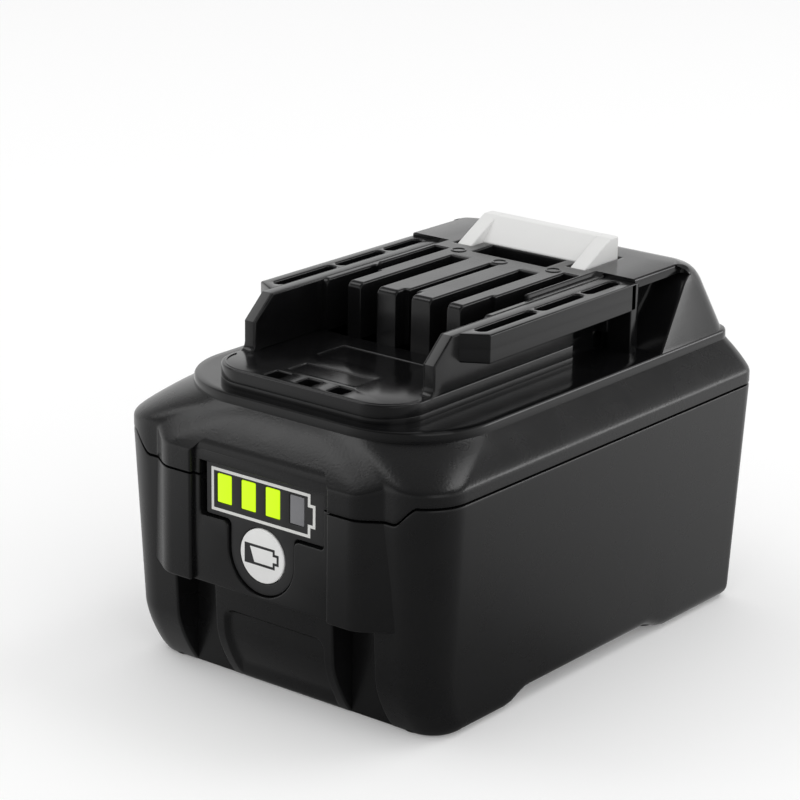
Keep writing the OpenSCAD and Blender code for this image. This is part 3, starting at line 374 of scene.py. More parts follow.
# %% Plan of the case
def plan(half, y0, y1, r0, r1, front, rear, side, turns):
    """Points and outward directions round a rectangle with two corner radii; front, rear and side are
    the shares from 0 to 1 at which the straight runs are cut."""
    q = np.linspace(0, np.pi / 2, turns)[1:-1]
    runs = [(np.stack([(half - r0) * front, np.full_like(front, y0)], 1),
             np.tile([0.0, -1.0], (len(front), 1)))]
    for k, (cx, cy, r) in enumerate([(half - r0, y0 + r0, r0), (half - r1, y1 - r1, r1),
                                     (-half + r1, y1 - r1, r1), (-half + r0, y0 + r0, r0)]):
        n = np.stack([np.cos(q + (k - 1) * np.pi / 2), np.sin(q + (k - 1) * np.pi / 2)], 1)
        runs.append((np.array([cx, cy]) + r * n, n))
        if k == 0 or k == 2:
            up = side if k == 0 else side[::-1]
            y = y0 + r0 + (y1 - r1 - y0 - r0) * up
            s = 1.0 if k == 0 else -1.0
            runs.append((np.stack([np.full_like(y, s * half), y], 1), np.tile([s, 0.0], (len(y), 1))))
        if k == 1:
            runs.append((np.stack([-(half - r1) * rear, np.full_like(rear, y1)], 1),
                         np.tile([0.0, 1.0], (len(rear), 1))))
    return np.concatenate([r[0] for r in runs]), np.concatenate([r[1] for r in runs])


HALF, FRONT, REAR = 32.5, -43.5, 46.0
CORNER, REAR_CORNER = 7.8, 4.2
FRONT_RUN, REAR_RUN = 24.7, 28.3  # half of the straight run at either end, between the corners
PARTING, APRON_PARTING = 38.65, 35.55
APRON_Y, APRON_FOOT = -46.0, 17.8
DOOR = 11.8  # half width of the release button's opening
TURNS = 24
rear_cut = mirrored(spread((0, DOOR - 0.05, 5), (DOOR, REAR_RUN, 6))) / REAR_RUN
side_cut = spread((0, 1, 40))


def parting(x, y):
    """Height of the joint between tub and lid: it steps down across the front."""
    t, rise = np.clip((np.abs(x) - 25.0) / 3.3, 0, 1), PARTING - APRON_PARTING
    return np.where(y < -20, APRON_PARTING + rise * t * t * (3 - 2 * t) * 0.35 + rise * t * 0.65, PARTING)


print("parting at the front", parting(np.array([0.0]), np.array([-40.0])))

# %% [markdown]
# ## Tub
# The tub tapers towards its foot so that it leaves its mould. Its surface is the plan carried
# upwards: every row is the plan moved in by the taper, with more at the rounded foot and at the
# sloping front. The two grip grooves, the label pocket and the arched sides are then pressed in as
# depths over the same grid. A boolean would do it too, but would leave sharp cut edges.

# %% Tub surface
def trench(x, low, high, depth, lip=0.4, foot=0.7):
    """Depth of a groove between low and high: a rounded lip outside, a steep wall, a rounded foot inside."""
    inside = np.minimum(x - low, high - x)
    out = np.clip(-inside, 0, lip)
    drop = lip - np.sqrt(np.maximum(lip ** 2 - (lip - out) ** 2, 0))
    far = np.clip(inside, 0, foot)
    rise = foot - np.sqrt(np.maximum(foot ** 2 - (foot - far) ** 2, 0))
    return np.where(inside > 0.01, np.maximum(depth - rise, np.minimum(lip, depth)), np.minimum(drop, depth))


def pocket(x, z, half, top, r, depth, soft):
    """Depth of a shallow pocket with rounded upper corners, from the signed distance to its outline."""
    dx, dz = np.abs(x) - (half - r), z - (top - r)
    d = np.hypot(np.maximum(dx, 0), np.maximum(dz, 0)) + np.minimum(np.maximum(dx, dz), 0) - r
    t = np.clip(0.5 - d / soft, 0, 1)
    return depth * t * t * (3 - 2 * t)


front_x = mirrored(spread((0, 8.2, 6), (8.3, 10.6, 17), (11.7, 12.15, 6), (12.17, 12.9, 5), (13.4, 19.5, 5),
                          (19.55, 20.18, 5), (20.2, 20.65, 6), (21.2, 24.7, 5)))
tub_b, tub_n = plan(HALF, FRONT, REAR, CORNER, REAR_CORNER, front_x / FRONT_RUN, rear_cut, side_cut, TURNS)
FOOT_R, TAPER = 2.0, 2.026
CHAMFER, CHAMFER_TOP = 3.9, 9.5
SCOOP_Y, GROOVE = -37.3, (12.15, 20.2)
ARCH = 1.8
tub_z = np.concatenate([FOOT_R * (1 - np.cos(np.linspace(0, np.pi / 2, 7))),
                        spread((2.6, 7, 9), (7.2, 9.2, 11), (9.5, 10.8, 5), (11, 13.2, 16), (13.6, 17.5, 9)),
                        [17.74, 17.79, 17.82], spread((18.6, 38.2, 10)), [38.45, 38.58, 38.65]])
lip_in = np.interp(tub_z, [38.2, 38.45, 38.58, 38.65], [0, 0.02, 0.09, 0.24])
taper = TAPER * (1 - tub_z / PARTING) + lip_in
round_foot = FOOT_R - np.sqrt(np.maximum(FOOT_R ** 2 - np.maximum(FOOT_R - tub_z, 0) ** 2, 0))
inset = taper[:, None] + round_foot[:, None] * np.where(tub_n[:, 1] < 0, 1 + 0.9 * tub_n[:, 1], 1.0)[None]
slope = CHAMFER * np.maximum(0, 1 - tub_z / CHAMFER_TOP)[:, None] ** 1.6
along_side = np.clip((0 - tub_b[:, 1]) / 35.7, 0, 1)
lean_back = np.where(tub_b[:, 1] < -35.6, 1.0, along_side)[None] * (tub_b[:, 1] < 0)
x = tub_b[None, :, 0] - tub_n[None, :, 0] * inset
y = tub_b[None, :, 1] - tub_n[None, :, 1] * inset + slope * lean_back
z = np.broadcast_to(tub_z[:, None], x.shape).copy()
flat_front = (tub_n[:, 1] < -0.999)[None] * np.ones_like(x)
scoop = np.where(z < APRON_FOOT, np.maximum(SCOOP_Y - y, 0), 0)
label = pocket(x, z, 10.0, 12.7, 1.6, 0.9, 0.8) * np.clip((z - 0.5) / 2.5, 0, 1)
sink = trench(np.abs(x), *GROOVE, scoop, foot=0.02) + label
y = y + sink * flat_front
top = parting(tub_b[:, 0], tub_b[:, 1])[None]
z = np.where(z > 25, 25 + (z - 25) * (top - 25) / (PARTING - 25), z)
ramp = np.clip((23.6 - np.abs(tub_b[:, 1] - 0.3)) / 6.4, 0, 1) * (np.abs(tub_n[:, 0]) > 0.99)
arch = ARCH * ramp ** 2 * (3 - 2 * ramp)
z = z + arch[None] * np.clip(1 - z / 16, 0, 1)
tub_p = np.stack([x, y, z], -1)
centre = (tub_p[:-1] + tub_p[1:]) / 2
mid_x = (centre[..., 0] + np.roll(centre[..., 0], -1, 1)) / 2
bay = (np.abs(mid_x) < 13.2) & (centre[..., 2] > 19) & (centre[..., 1] < -40)
tub_patches = [sheet(tub_p, wrap=True, keep=~bay)]
print("tub grid", tub_p.shape)

# %% [markdown]
# ## Foot of the tub
# Underneath, the arched sides step up from the flat foot, and four wells lead to the case screws.
# The foot is one flat face with four holes; each well is a tube with a closed end.

# %% Tub foot and rim
edge = tub_p[0]
reach = 4.0 * np.clip(arch / ARCH, 0, 1)[:, None]
inner = edge[:, :2] - tub_n * reach
ring = np.stack([np.column_stack([inner, np.zeros(len(inner))]), np.column_stack([inner, arch]), edge])
tub_patches.append(sheet(ring, wrap=True))
WELL_R, WELL_RIM, WELL_DEPTH = 2.0, 0.1, 26.0
well_at = [(23.8, -35.5), (25.9, 39.8), (-25.9, 39.8), (-23.8, -35.5)]
rims = [circle(*c, WELL_R + WELL_RIM) for c in well_at]
tub_patches.append(cap([inner] + rims, 0.0, False))
for c, rim in zip(well_at, rims):
    bore = circle(*c, WELL_R)
    levels = np.stack([np.column_stack([ring, np.full(len(ring), h)])
                       for ring, h in ((rim, 0.0), (bore, 0.3), (bore, WELL_DEPTH))])
    p, f = sheet(levels, wrap=True)
    tub_patches.append((p, f[:, ::-1]))
rim = tub_p[-1]
RIM_T, RIM_DEPTH = 1.8, 4.0
tub_inner = np.stack([rim, np.column_stack([rim[:, :2] - tub_n * RIM_T, rim[:, 2]]),
                      np.column_stack([rim[:, :2] - tub_n * RIM_T, rim[:, 2] - RIM_DEPTH])])
rim_keep = np.tile(~((np.abs(rim[:, 0]) < 13.2) & (rim[:, 1] < -40)), (2, 1))
tub_patches.append(sheet(tub_inner, wrap=True, keep=rim_keep))
print("screw wells", len(well_at))

# %% [markdown]
# ## Apron and gauge recess
# The apron is a shield on the front that carries the gauge. It is a plate standing on its lower
# edge, with a wide notch in its face; the floor of the notch is a thin plate with the T-shaped
# opening in which the gauge panel sits. The joint of the case runs across both.

# %% Apron
def apron_face(x):
    """Where the apron's face lies: flat in the middle, then a straight flank, rounded at its start,
    that sinks into the case."""
    t, w = (np.abs(x) - 19.3) / 5.1, 0.28
    return APRON_Y + 3.5 * (np.maximum(t, 0) + np.maximum(w - np.abs(t), 0) ** 2 / (4 * w))


FLANK, NOTCH, FLOOR_HALF, WINDOW = 26.2, 13.8, 14.3, 12.6  # half widths of flank, notch, its floor and window
KEY_Z, BOWL_R = 25.0, 6.7
NOTCH_BACK, FLOOR_BACK = -43.4, -43.1
MIRROR = np.array([-1, 1])
flank_x = np.linspace(17.8, FLANK, 29)
right = np.column_stack([flank_x, apron_face(flank_x)])
notch = rounded([(-17.7, APRON_Y), (-NOTCH, APRON_Y), (-NOTCH, NOTCH_BACK),
                 (NOTCH, NOTCH_BACK), (NOTCH, APRON_Y), (17.7, APRON_Y)], [0, 0.45, 0, 0, 0.45, 0], 8)
apron_plan = np.concatenate([[(-FLANK, -40.5)], (right * MIRROR)[::-1], notch, right, [(FLANK, -40.5)]])
tub_patches += plate(apron_plan, APRON_FOOT, APRON_PARTING - 0.02, 0.5, 0.18)
half_turn = np.linspace(0, -np.pi, 33)
bowl = np.stack([BOWL_R * np.cos(half_turn), KEY_Z + 6.6 * np.sin(half_turn)], 1)
shoulder = rounded([(WINDOW, 35.5), (WINDOW, 29.1), (BOWL_R, 29.1), (BOWL_R, KEY_Z)], [0, 0.7, 0.9, 0], 6)
frame_low = np.concatenate([[(-FLOOR_HALF, 17.9), (FLOOR_HALF, 17.9), (FLOOR_HALF, 35.5)], shoulder[:-1],
                            bowl, (shoulder * MIRROR)[::-1][1:], [(-FLOOR_HALF, 35.5)]])
tub_patches += plate(frame_low, -45.1, FLOOR_BACK, 0.22, 0.1, axis="y")
piece("tub_shell", tub_patches, tub_black, "case", ["lower_case"])

# %% [markdown]
# ## Lid shoulder
# The lid rises from the joint, turns over a soft rim and slopes up to a ledge. Each row mixes the
# plan of the case with the plan of the ledge by a share that grows from 0 at the rim to 1 at the
# ledge; over the apron the face lies further forward and its rim is lower.

# %% Lid surface
LEDGE = (27.6, -39.2, 45.4, 15.3, 4.0)  # half width, front, rear and two corner radii of the ledge
LEDGE_TOP, DOOR_FOOT = 47.55, 43.2
lid_x = mirrored(spread((0, 13.3, 6), (13.4, 13.79, 5), (13.81, 14.2, 6), (15.0, 18.2, 4),
                        (18.4, FRONT_RUN, 24)))
lid_b, lid_n = plan(HALF, FRONT, REAR, CORNER, REAR_CORNER, lid_x / FRONT_RUN, rear_cut, side_cut, TURNS)
ledge, ledge_n = plan(*LEDGE, lid_x / FRONT_RUN, rear_cut, side_cut, TURNS)
share = np.array([0, 0.005, 0.02, 0.05, 0.10, 0.16, 0.25, 0.40, 0.55, 0.70, 0.85, 1.0])
rim_z = np.array([40.6, 40.85, 41.1, 41.4, 41.75, 42.1, 42.6, 43.35, 44.05, 44.7, 45.3, 45.95])
apron_rim = np.array([39.35, 39.55, 39.75, 40.0, 40.45, 40.95, 41.65, 42.75, 43.75, 44.6, 45.35, 45.95])
back_run = lid_n[:, 1] > 0.999
ledge[back_run, 0] = np.interp(lid_b[back_run, 0], [-REAR_RUN, -DOOR, DOOR, REAR_RUN],
                               [-23.6, -DOOR, DOOR, 23.6])
in_front = lid_b[:, 1] < -30
PROUD = 2.5  # how far the apron stands in front of the case
crisp = np.where(in_front, np.maximum(FRONT - apron_face(lid_b[:, 0]), 0), 0)
low, high = 19.3 - 10 * share[:, None], 23.0 + 5 * share[:, None]
t = np.clip((np.abs(lid_b[:, 0]) - low) / (high - low), 0, 1)
wide = np.where(in_front, PROUD * (1 - t * t * (3 - 2 * t)), 0)
fade = np.clip(share / 0.2, 0, 1)[:, None]
bulge = crisp * (1 - fade) + wide * fade
weight = np.clip(bulge / PROUD, 0, 1)
slope_z = rim_z[:, None] * (1 - weight) + apron_rim[:, None] * weight
foot_z = parting(lid_b[:, 0], lid_b[:, 1]) + 0.3
up = np.array([0.0, 0.02, 0.06, 0.14, 0.4, 0.7, 0.9])[:, None]
wall_z = foot_z + (slope_z[0] - foot_z) * up
a = np.concatenate([np.zeros(len(up)), share])[:, None]
z = np.concatenate([wall_z, slope_z])
under = np.interp(np.arange(len(a)), [0, 1, 2, 3], [0.3, 0.1, 0.02, 0.0])[:, None]
x = lid_b[None, :, 0] * (1 - a) + ledge[None, :, 0] * a - lid_n[None, :, 0] * under
forward = np.concatenate([np.tile(crisp, (len(up), 1)), bulge])
y = (lid_b[None, :, 1] - forward) * (1 - a) + ledge[None, :, 1] * a - lid_n[None, :, 1] * under
NOTCH_LIP, NOTCH_FLOOR = 0.4, -45.08
lip = NOTCH_LIP - np.clip(np.abs(lid_b[:, 0]) - NOTCH, 0, NOTCH_LIP)
lip_y = APRON_Y + NOTCH_LIP - np.sqrt(np.maximum(NOTCH_LIP ** 2 - lip ** 2, 0))
recess = np.where(np.abs(lid_b[:, 0]) < NOTCH, NOTCH_FLOOR, lip_y)
y = np.where((lid_b[:, 1] < -40)[None], np.maximum(y, recess[None]), y)
stack = [(0.0, 46.05), (-0.03, 46.2), (0.0, 47.05), (0.06, 47.3), (0.2, 47.48), (0.42, LEDGE_TOP),
         (1.5, LEDGE_TOP)]
crown = [np.column_stack([ledge - ledge_n * i, np.full(len(ledge), h)])[None] for i, h in stack]
slope_p = np.stack([x, y, z], -1)
lid_p = np.concatenate([slope_p] + crown)
centre = (lid_p[:-1] + lid_p[1:]) / 2
mid_x = (centre[..., 0] + np.roll(centre[..., 0], -1, 1)) / 2
bay = (np.abs(mid_x) < 13.3) & (centre[..., 2] < 38.6) & (centre[..., 1] < -40)
door = (np.abs(mid_x) < DOOR) & (centre[..., 2] > DOOR_FOOT) & (centre[..., 1] > 42)
keep = ~(bay | door)
lid_patches = [sheet(slope_p, wrap=True, keep=keep[:len(slope_p) - 1])]
ledge_patches = [sheet(lid_p[len(slope_p) - 1:], wrap=True, keep=keep[len(slope_p) - 1:])]
print("lid grid", lid_p.shape)

# %% [markdown]
# ## Ledge top and upper recess floor
# The ledge's top is open in the middle, where the tower stands, and behind it as far as the rear,
# where the release button hangs. So its outline runs in and round that opening and back. The floor
# of the apron's notch goes on above the joint as a bracket over the gauge.

# %% Ledge top and upper recess floor
WALL_IN, WELL_REAR = 16.9, 42.4
loop = lid_p[-1, :, :2]
behind = (np.abs(loop[:, 0]) < DOOR + 0.01) & (loop[:, 1] > 40)
first, last = np.nonzero(behind)[0][[0, -1]]
well = np.array([(DOOR, WELL_REAR), (WALL_IN, WELL_REAR), (WALL_IN, -30),
                 (-WALL_IN, -30), (-WALL_IN, WELL_REAR), (-DOOR, WELL_REAR)])
ends = [[DOOR, loop[first, 1]]], [[-DOOR, loop[last, 1]]]
loop = np.concatenate([loop[:first], ends[0], well, ends[1], loop[last + 1:]])
ledge_patches.append(cap([loop], LEDGE_TOP, True))
frame_top = np.array([(-FLOOR_HALF, 35.75), (-WINDOW, 35.75), (-WINDOW, 38.1), (WINDOW, 38.1),
                      (WINDOW, 35.75), (FLOOR_HALF, 35.75), (FLOOR_HALF, 40.0), (-FLOOR_HALF, 40.0)])
lid_patches += plate(frame_top, -45.11, FLOOR_BACK, 0.2, 0.1, axis="y")
piece("lid_shell", lid_patches, lid_black, "case", ["upper_case"])

# %% [markdown]
# ## Tower base
# The tower stands on a smooth base with rounded front corners. A fine step runs round it where two
# mould parts met, its front edge carries a bead, and its floor has three square openings with
# bevelled rims and two shallow steps.

# %% Tower base
WALL_OUT, BASE_FRONT, BASE_REAR, BASE_R = 19.3, -36.8, 18.4, 7.0
NICHE_X, NICHE_FRONT, NICHE_REAR = 17.2, 9.7, 19.2
TOWER_FLOOR, RAIL_LOW, RAIL_TOP, DECK = 50.6, 54.6, 59.3, 59.9
base_plan = rounded(rect(-WALL_OUT, WALL_OUT, BASE_FRONT, BASE_REAR), [BASE_R, BASE_R, 0.5, 0.5], 16)
niche_plan = rounded([(-WALL_OUT, BASE_FRONT), (WALL_OUT, BASE_FRONT), (WALL_OUT, NICHE_FRONT),
                      (NICHE_X, NICHE_FRONT), (NICHE_X, BASE_REAR), (-NICHE_X, BASE_REAR),
                      (-NICHE_X, NICHE_FRONT), (-WALL_OUT, NICHE_FRONT)],
                     [BASE_R, BASE_R, 0.3, 0, 0.3, 0.3, 0, 0.3], 16)
tower_patches = ledge_patches + plate(niche_plan + 0.05 * outward(niche_plan), 47.3, 48.5, 0.02, 0.05)
squares = [rounded(rect(c - 1.5, c + 1.5, -35.25, -32.15), 0.25, 4) for c in (-6.3, 0.0, 6.3)]
steps_plan = [rounded(rect(-6.75, 6.7, -30.6, -26.2), 0.2, 3), rounded(rect(-8.5, 8.3, -21.5, -15.0), 0.2, 3)]
tower_patches += plate(niche_plan, 48.4, TOWER_FLOOR, 0.02, 0.3, holes=squares + steps_plan)
tower_patches += [cap([s + 0.1 * outward(s)], TOWER_FLOOR - 0.18, True) for s in steps_plan]
front_run = base_plan[:, 1] < -26.5
normal = outward(base_plan)[front_run]
bead_line = base_plan[front_run] - 0.75 * normal
arc = np.linspace(0, np.pi, 7)
cross = np.stack([0.17 * np.cos(arc), 0.14 * np.sin(arc)], 1)
bead_h = np.broadcast_to(TOWER_FLOOR - 0.02 + cross[None, :, 1:], (len(bead_line), len(arc), 1))
bead_p = np.concatenate([bead_line[:, None] + cross[None, :, :1] * normal[:, None], bead_h], -1)
tower_patches.append(sheet(bead_p[:, ::-1]))
print("bead points", bead_p.shape)

# %% [markdown]
# ## Side walls and rails
# Two walls stand on the base, cut back at their front in a long slope, with a curved foot that
# runs forward. The rails hang on them: flat flanges, skewed at the front, with three round-ended
# slots each. Under each rail's end the wall has a dark niche.

# %% Walls and rails
FOOT_Z, TOE_R = 50.55, 1.4
RAIL_OUT, RAIL_IN, RAIL_END, CLOSING_REAR = 23.3, 18.9, 21.2, 23.9
foot_arc = np.linspace(0, np.pi / 2, 6)
toe = np.stack([-28.4 + TOE_R * np.sin(foot_arc), FOOT_Z + TOE_R * (1 - np.cos(foot_arc))], 1)
wall_top = [(-27.0, 55.4), (-22.7, RAIL_TOP), (RAIL_END, RAIL_TOP), (RAIL_END, FOOT_Z)]
wall_side = np.concatenate([toe, wall_top])
under_rail = [(NICHE_REAR, FOOT_Z), (NICHE_REAR, RAIL_LOW), (NICHE_FRONT, RAIL_LOW), (NICHE_FRONT, FOOT_Z)]
notched = np.concatenate([wall_side, under_rail])
wall = plate(notched[::-1], NICHE_X, WALL_OUT, 0.2, 0.3, axis="x")
wall += plate(wall_side[::-1], WALL_IN, NICHE_X + 0.05, 0.3, 0.05, axis="x")
tower_patches += both(wall)
flange_plan = rounded([(RAIL_IN, -21.1), (RAIL_OUT, -18.4), (RAIL_OUT, RAIL_END), (RAIL_IN, RAIL_END)],
                      [0, 0.3, 0, 0], 5)
slots = [rounded(rect(19.36, 21.5, y0, y1), 1.06, 8) for y0, y1 in ((-17.9, -3.3), (-2.3, 9.5), (10.5, 19.8))]
rail = plate(flange_plan, RAIL_LOW, 56.9, 0.3, 0.02)
rail += plate(flange_plan, 56.85, RAIL_TOP, 0.02, 0.28, holes=slots)
closing_plan = rounded(rect(RAIL_IN, RAIL_OUT, 20.0, CLOSING_REAR), [0, 0.2, 2.6, 0], 12)
closing = plate(closing_plan, 47.4, RAIL_TOP - 0.1, 0.05, 0.2)
tower_patches += both(rail + closing)
print("tower patches", len(tower_patches))

# %% [markdown]
# ## Comb and deck
# Between the walls lies a comb: ribs that guide the tool's contacts, with slots between them, and
# behind it the deck with the window and the openings of the hook. All of it is square to the
# axes, so its top is one height over a grid whose lines crowd at the edges: each slot presses the
# height down, with a rounded lip outside its border.

# %% Comb and deck
def crowd(edges, r, low, high, count):
    """Grid lines: an even run, and ten lines close to each edge."""
    near = np.array([-r, -0.62 * r, -0.3 * r, -0.09 * r, -0.003, 0.003, 0.09 * r, 0.3 * r, 0.62 * r, r])
    lines = np.concatenate([np.linspace(low, high, count)] + [e + near for e in edges])
    return np.unique(np.round(lines[(lines >= low) & (lines <= high)], 4))


def lip_drop(d, r):
    """How far a rounded lip has fallen at distance d outside a border."""
    d = np.clip(d, 0, r)
    return r - np.sqrt(np.maximum(r * r - (r - d) ** 2, 0))


LIP, NOSE = 0.32, 1.1  # rounding of the slots and of the comb's front
COMB_FRONT, DECK_REAR = -10.5, 33.0
THROUGH = 57.9  # a cut at this height goes through the deck
cuts = [(-1.6, 1.6, COMB_FRONT, -8.0, TOWER_FLOOR), (-0.75, 0.75, COMB_FRONT, 13.5, TOWER_FLOOR),
        (-7.5, 7.5, 17.8, 23.5, 54.0), (-10.3, 10.3, 23.9, 31.0, THROUGH)]
right_cuts = [(5.4, 8.8, COMB_FRONT, 13.5, TOWER_FLOOR), (11.45, 15.85, COMB_FRONT, -2.1, TOWER_FLOOR),
              (12.05, 14.75, COMB_FRONT, 16.7, TOWER_FLOOR), (14.75, 15.85, COMB_FRONT, 2.0, 57.6),
              (10.0, 13.5, 20.5, 31.0, THROUGH)]
cuts += right_cuts + [(-x1, -x0, y0, y1, low) for x0, x1, y0, y1, low in right_cuts]
comb_x = crowd(sorted({c for cut in cuts for c in cut[:2]} | {-15.4, 15.4}), LIP, -WALL_IN, WALL_IN, 41)
comb_y = crowd(sorted({c for cut in cuts for c in cut[2:4]} | {RAIL_END}), LIP, COMB_FRONT, DECK_REAR, 37)
comb_y = np.unique(np.concatenate([comb_y, COMB_FRONT + NOSE * (1 - np.cos(np.linspace(0, np.pi / 2, 7)))]))
X, Y = np.meshgrid(comb_x, comb_y)
rise = DECK - RAIL_TOP
outer = np.where(Y < RAIL_END, RAIL_TOP + rise * np.clip((15.55 - np.abs(X)) / 0.3, 0, 1), DECK)
outer = np.maximum(outer, RAIL_TOP + rise * np.clip((Y - 20.2) / 1.0, 0, 1))
top = outer - lip_drop(Y - COMB_FRONT, NOSE)
height = top.copy()
hole = np.zeros_like(X, bool)
for x0, x1, y0, y1, low in cuts:
    far = np.hypot(np.maximum(np.maximum(x0 - X, X - x1), 0), np.maximum(np.maximum(y0 - Y, Y - y1), 0))
    inside = (X > x0) & (X < x1) & (Y > y0) & (Y < y1)
    height = np.minimum(height, np.where(inside, low, top - np.minimum(lip_drop(far, LIP), LIP)))
    hole |= inside & (low == THROUGH)
height = np.where(Y <= COMB_FRONT + 0.0001, FOOT_Z, height)
comb_p = np.stack([X, Y, height], -1)
solid = ~(hole[:-1, :-1] & hole[1:, 1:] & hole[:-1, 1:] & hole[1:, :-1])
tower_patches.append(sheet(comb_p, keep=solid))
print("comb grid", comb_p.shape)

# %% [markdown]
# ## Ring marks
# Pins that pushed the lid out of its mould left three small rings on the deck: half a torus each.

# %% Ring marks
MARK_R, MARK_T, MARK_H = 1.2, 0.22, 0.16
wide_turn, small_turn = np.linspace(0, 2 * np.pi, 41)[:, None], np.linspace(np.pi, 0, 7)[None]
mark_r = MARK_R + MARK_T * np.cos(small_turn)
mark_z = DECK - 0.02 + MARK_H * np.sin(small_turn) + 0 * wide_turn
mark_p = np.stack([mark_r * np.cos(wide_turn), mark_r * np.sin(wide_turn), mark_z], -1)
tower_patches += [sheet(mark_p + np.array(c)) for c in [(-9.8, 16.8, 0), (0.0, 15.2, 0), (9.8, 16.8, 0)]]
print("ring mark grid", mark_z.shape)

# %% [markdown]
# ## Rear block
# The deck ends in a block that leans in towards its top, turns over a wide round at the rear and
# carries two wings beside the rails. Between rail and wing is a dark pocket whose far side slopes
# back. The block is a stack of outlines: at each height the sides move in by the lean, the rear
# follows the slope and the round, and the wing's front edge moves back.

# %% Rear block
ROUND_Y, ROUND_Z, ROUND = 35.93, 53.9, 6.0
ROUND_START, REAR_LEAN = 55.95, 0.421
DOOR_TOP = 57.3


def rear_at(h):
    """Where the rear face lies at a height: a slope, then a round over the top."""
    over_top = ROUND_Y + np.sqrt(np.maximum(ROUND ** 2 - (h - ROUND_Z) ** 2, 0))
    return np.where(h < ROUND_START, 45.1 - REAR_LEAN * (h - LEDGE_TOP), over_top)


def block_outline(height, half, inner, front, corner):
    """Outline of the rear block at one height: tower side, pocket, wing, round rear corner, and the
    hollow inside."""
    rear, room_left = float(rear_at(np.array(height))), 0.4 * (half - inner)
    right = rounded([(WALL_IN, RAIL_END), (inner, RAIL_END), (inner, front), (half, front), (half, rear),
                     (12.0, rear)], [0, 0.05, min(1.2, room_left), min(0.3, room_left), corner, 0], 8)
    left = (right * MIRROR)[::-1]
    hollow = [(-WALL_IN, DECK_REAR), (WALL_IN, DECK_REAR)]
    return np.concatenate([right, [(DOOR, rear), (-DOOR, rear)], left, hollow])


SIDE_LEAN, WING_CORNER = 0.24, 5.0
wing_z = np.array([47.4, 48.0, 49.6, 51.3, 53.0, 54.6, ROUND_START, 56.7, DOOR_TOP, 57.9, 58.28])
wing_half = 27.35 - SIDE_LEAN * (wing_z - 47.5)
wing_front = 23.5 + (wing_z - LEDGE_TOP) + 0.5 * np.maximum(0.0, wing_z - 57.0) ** 2
levels = [(h, half, WALL_OUT, front, WING_CORNER) for h, half, front in zip(wing_z, wing_half, wing_front)]
levels += [(58.3, 24.7, 23.05, 34.9, 5.0), (58.9, 24.45, 23.1, 35.0, 4.8), (59.3, 24.1, 23.1, 35.0, 4.6),
           (59.55, 23.7, 23.08, 34.9, 4.4), (59.75, 23.35, 23.0, 34.6, 4.0), (59.85, 23.1, 22.85, 34.0, 3.4),
           (DECK, 22.8, 22.6, 33.4, 1.6)]
outlines = np.stack([block_outline(*level) for level in levels])
heights = np.array([level[0] for level in levels])
block_p = np.concatenate([outlines, np.broadcast_to(heights[:, None, None], (*outlines.shape[:2], 1))], -1)
centre = (block_p[:-1] + block_p[1:]) / 2
mid = (centre + np.roll(centre, -1, 1)) / 2
door = (np.abs(mid[..., 0]) < DOOR - 0.1) & (mid[..., 1] > 36.0) & (mid[..., 2] < DOOR_TOP)
inner = (np.abs(mid[..., 0]) < WALL_IN + 0.05) & (mid[..., 1] > RAIL_END + 0.1)
inner &= mid[..., 1] < DECK_REAR + 0.1
tower_patches.append(sheet(block_p, wrap=True, keep=~(door | inner)))
tower_patches.append(cap([outlines[-1]], DECK, True))
frame_hole = rounded(rect(-DOOR, DOOR, DOOR_FOOT, DOOR_TOP), 0.6, 5)
face = np.where(frame_hole[:, 1] < 47.5, 45.4, rear_at(frame_hole[:, 1]))
sleeve = np.stack([np.column_stack([frame_hole[:, 0], face - d, frame_hole[:, 1]]) for d in (-0.05, 2.4)])
tower_patches.append(sheet(sleeve, wrap=True))
piece("tower_shell", tower_patches, tower_black, "case", ["upper_case"])

# %% [markdown]
# ## Hook
# The white hook springs out of the deck and holds the pack in the tool. Two cheeks rise in a ramp
# and a wall behind joins them. It is cut from three plates, each with softly rounded edges.

# %% Hook
HOOK_LOW, HOOK_FOOT_TOP, HOOK_TOP = 55.4, 57.55, 63.7
HOOK_FRONT, HOOK_REAR = 20.8, 30.7
ARM_X, STUD_R = 8.5, 1.3
cheek = rounded([(HOOK_FRONT, HOOK_LOW), (HOOK_REAR, HOOK_LOW), (HOOK_REAR, HOOK_TOP), (28.2, HOOK_TOP),
                 (HOOK_FRONT, 59.75)], [0, 0, 0.5, 0.5, 0.3], 5)
back_top = HOOK_TOP - 0.02
back = rounded([(24.2, HOOK_LOW), (HOOK_REAR, HOOK_LOW), (HOOK_REAR, back_top), (28.0, back_top),
                (24.2, DECK)], [0, 0, 0.5, 0.6, 0.3], 5)
hook_patches = both(plate(cheek, 10.3, 13.2, 0.3, 0.3, axis="x"))
hook_patches += plate(back, -10.4, 10.4, 0.02, 0.02, axis="x")
foot_plan = np.array([(-15.9, HOOK_FRONT), (-7.6, HOOK_FRONT), (-7.6, 23.6), (7.6, 23.6), (7.6, HOOK_FRONT),
                      (15.9, HOOK_FRONT), (15.9, 31.6), (-15.9, 31.6)])
hook_patches += plate(foot_plan, HOOK_LOW, HOOK_FOOT_TOP, 0.2, 0.2)
arm = np.array([(HOOK_REAR, HOOK_LOW), (34.6, HOOK_LOW), (36.0, 54.0), (36.0, 51.7), (38.0, 51.7),
                (38.0, 54.6), (35.6, HOOK_FOOT_TOP), (HOOK_REAR, HOOK_FOOT_TOP)])
hook_patches += plate(arm, -ARM_X, ARM_X, 0.2, 0.2, axis="x")
hook_patches += both(plate(circle(8.5, 27.3, STUD_R), 53.7, 55.5, 0.2, 0.0))
piece("latch_hook_shell", hook_patches, latch_white, "latch", ["latch_hook"])

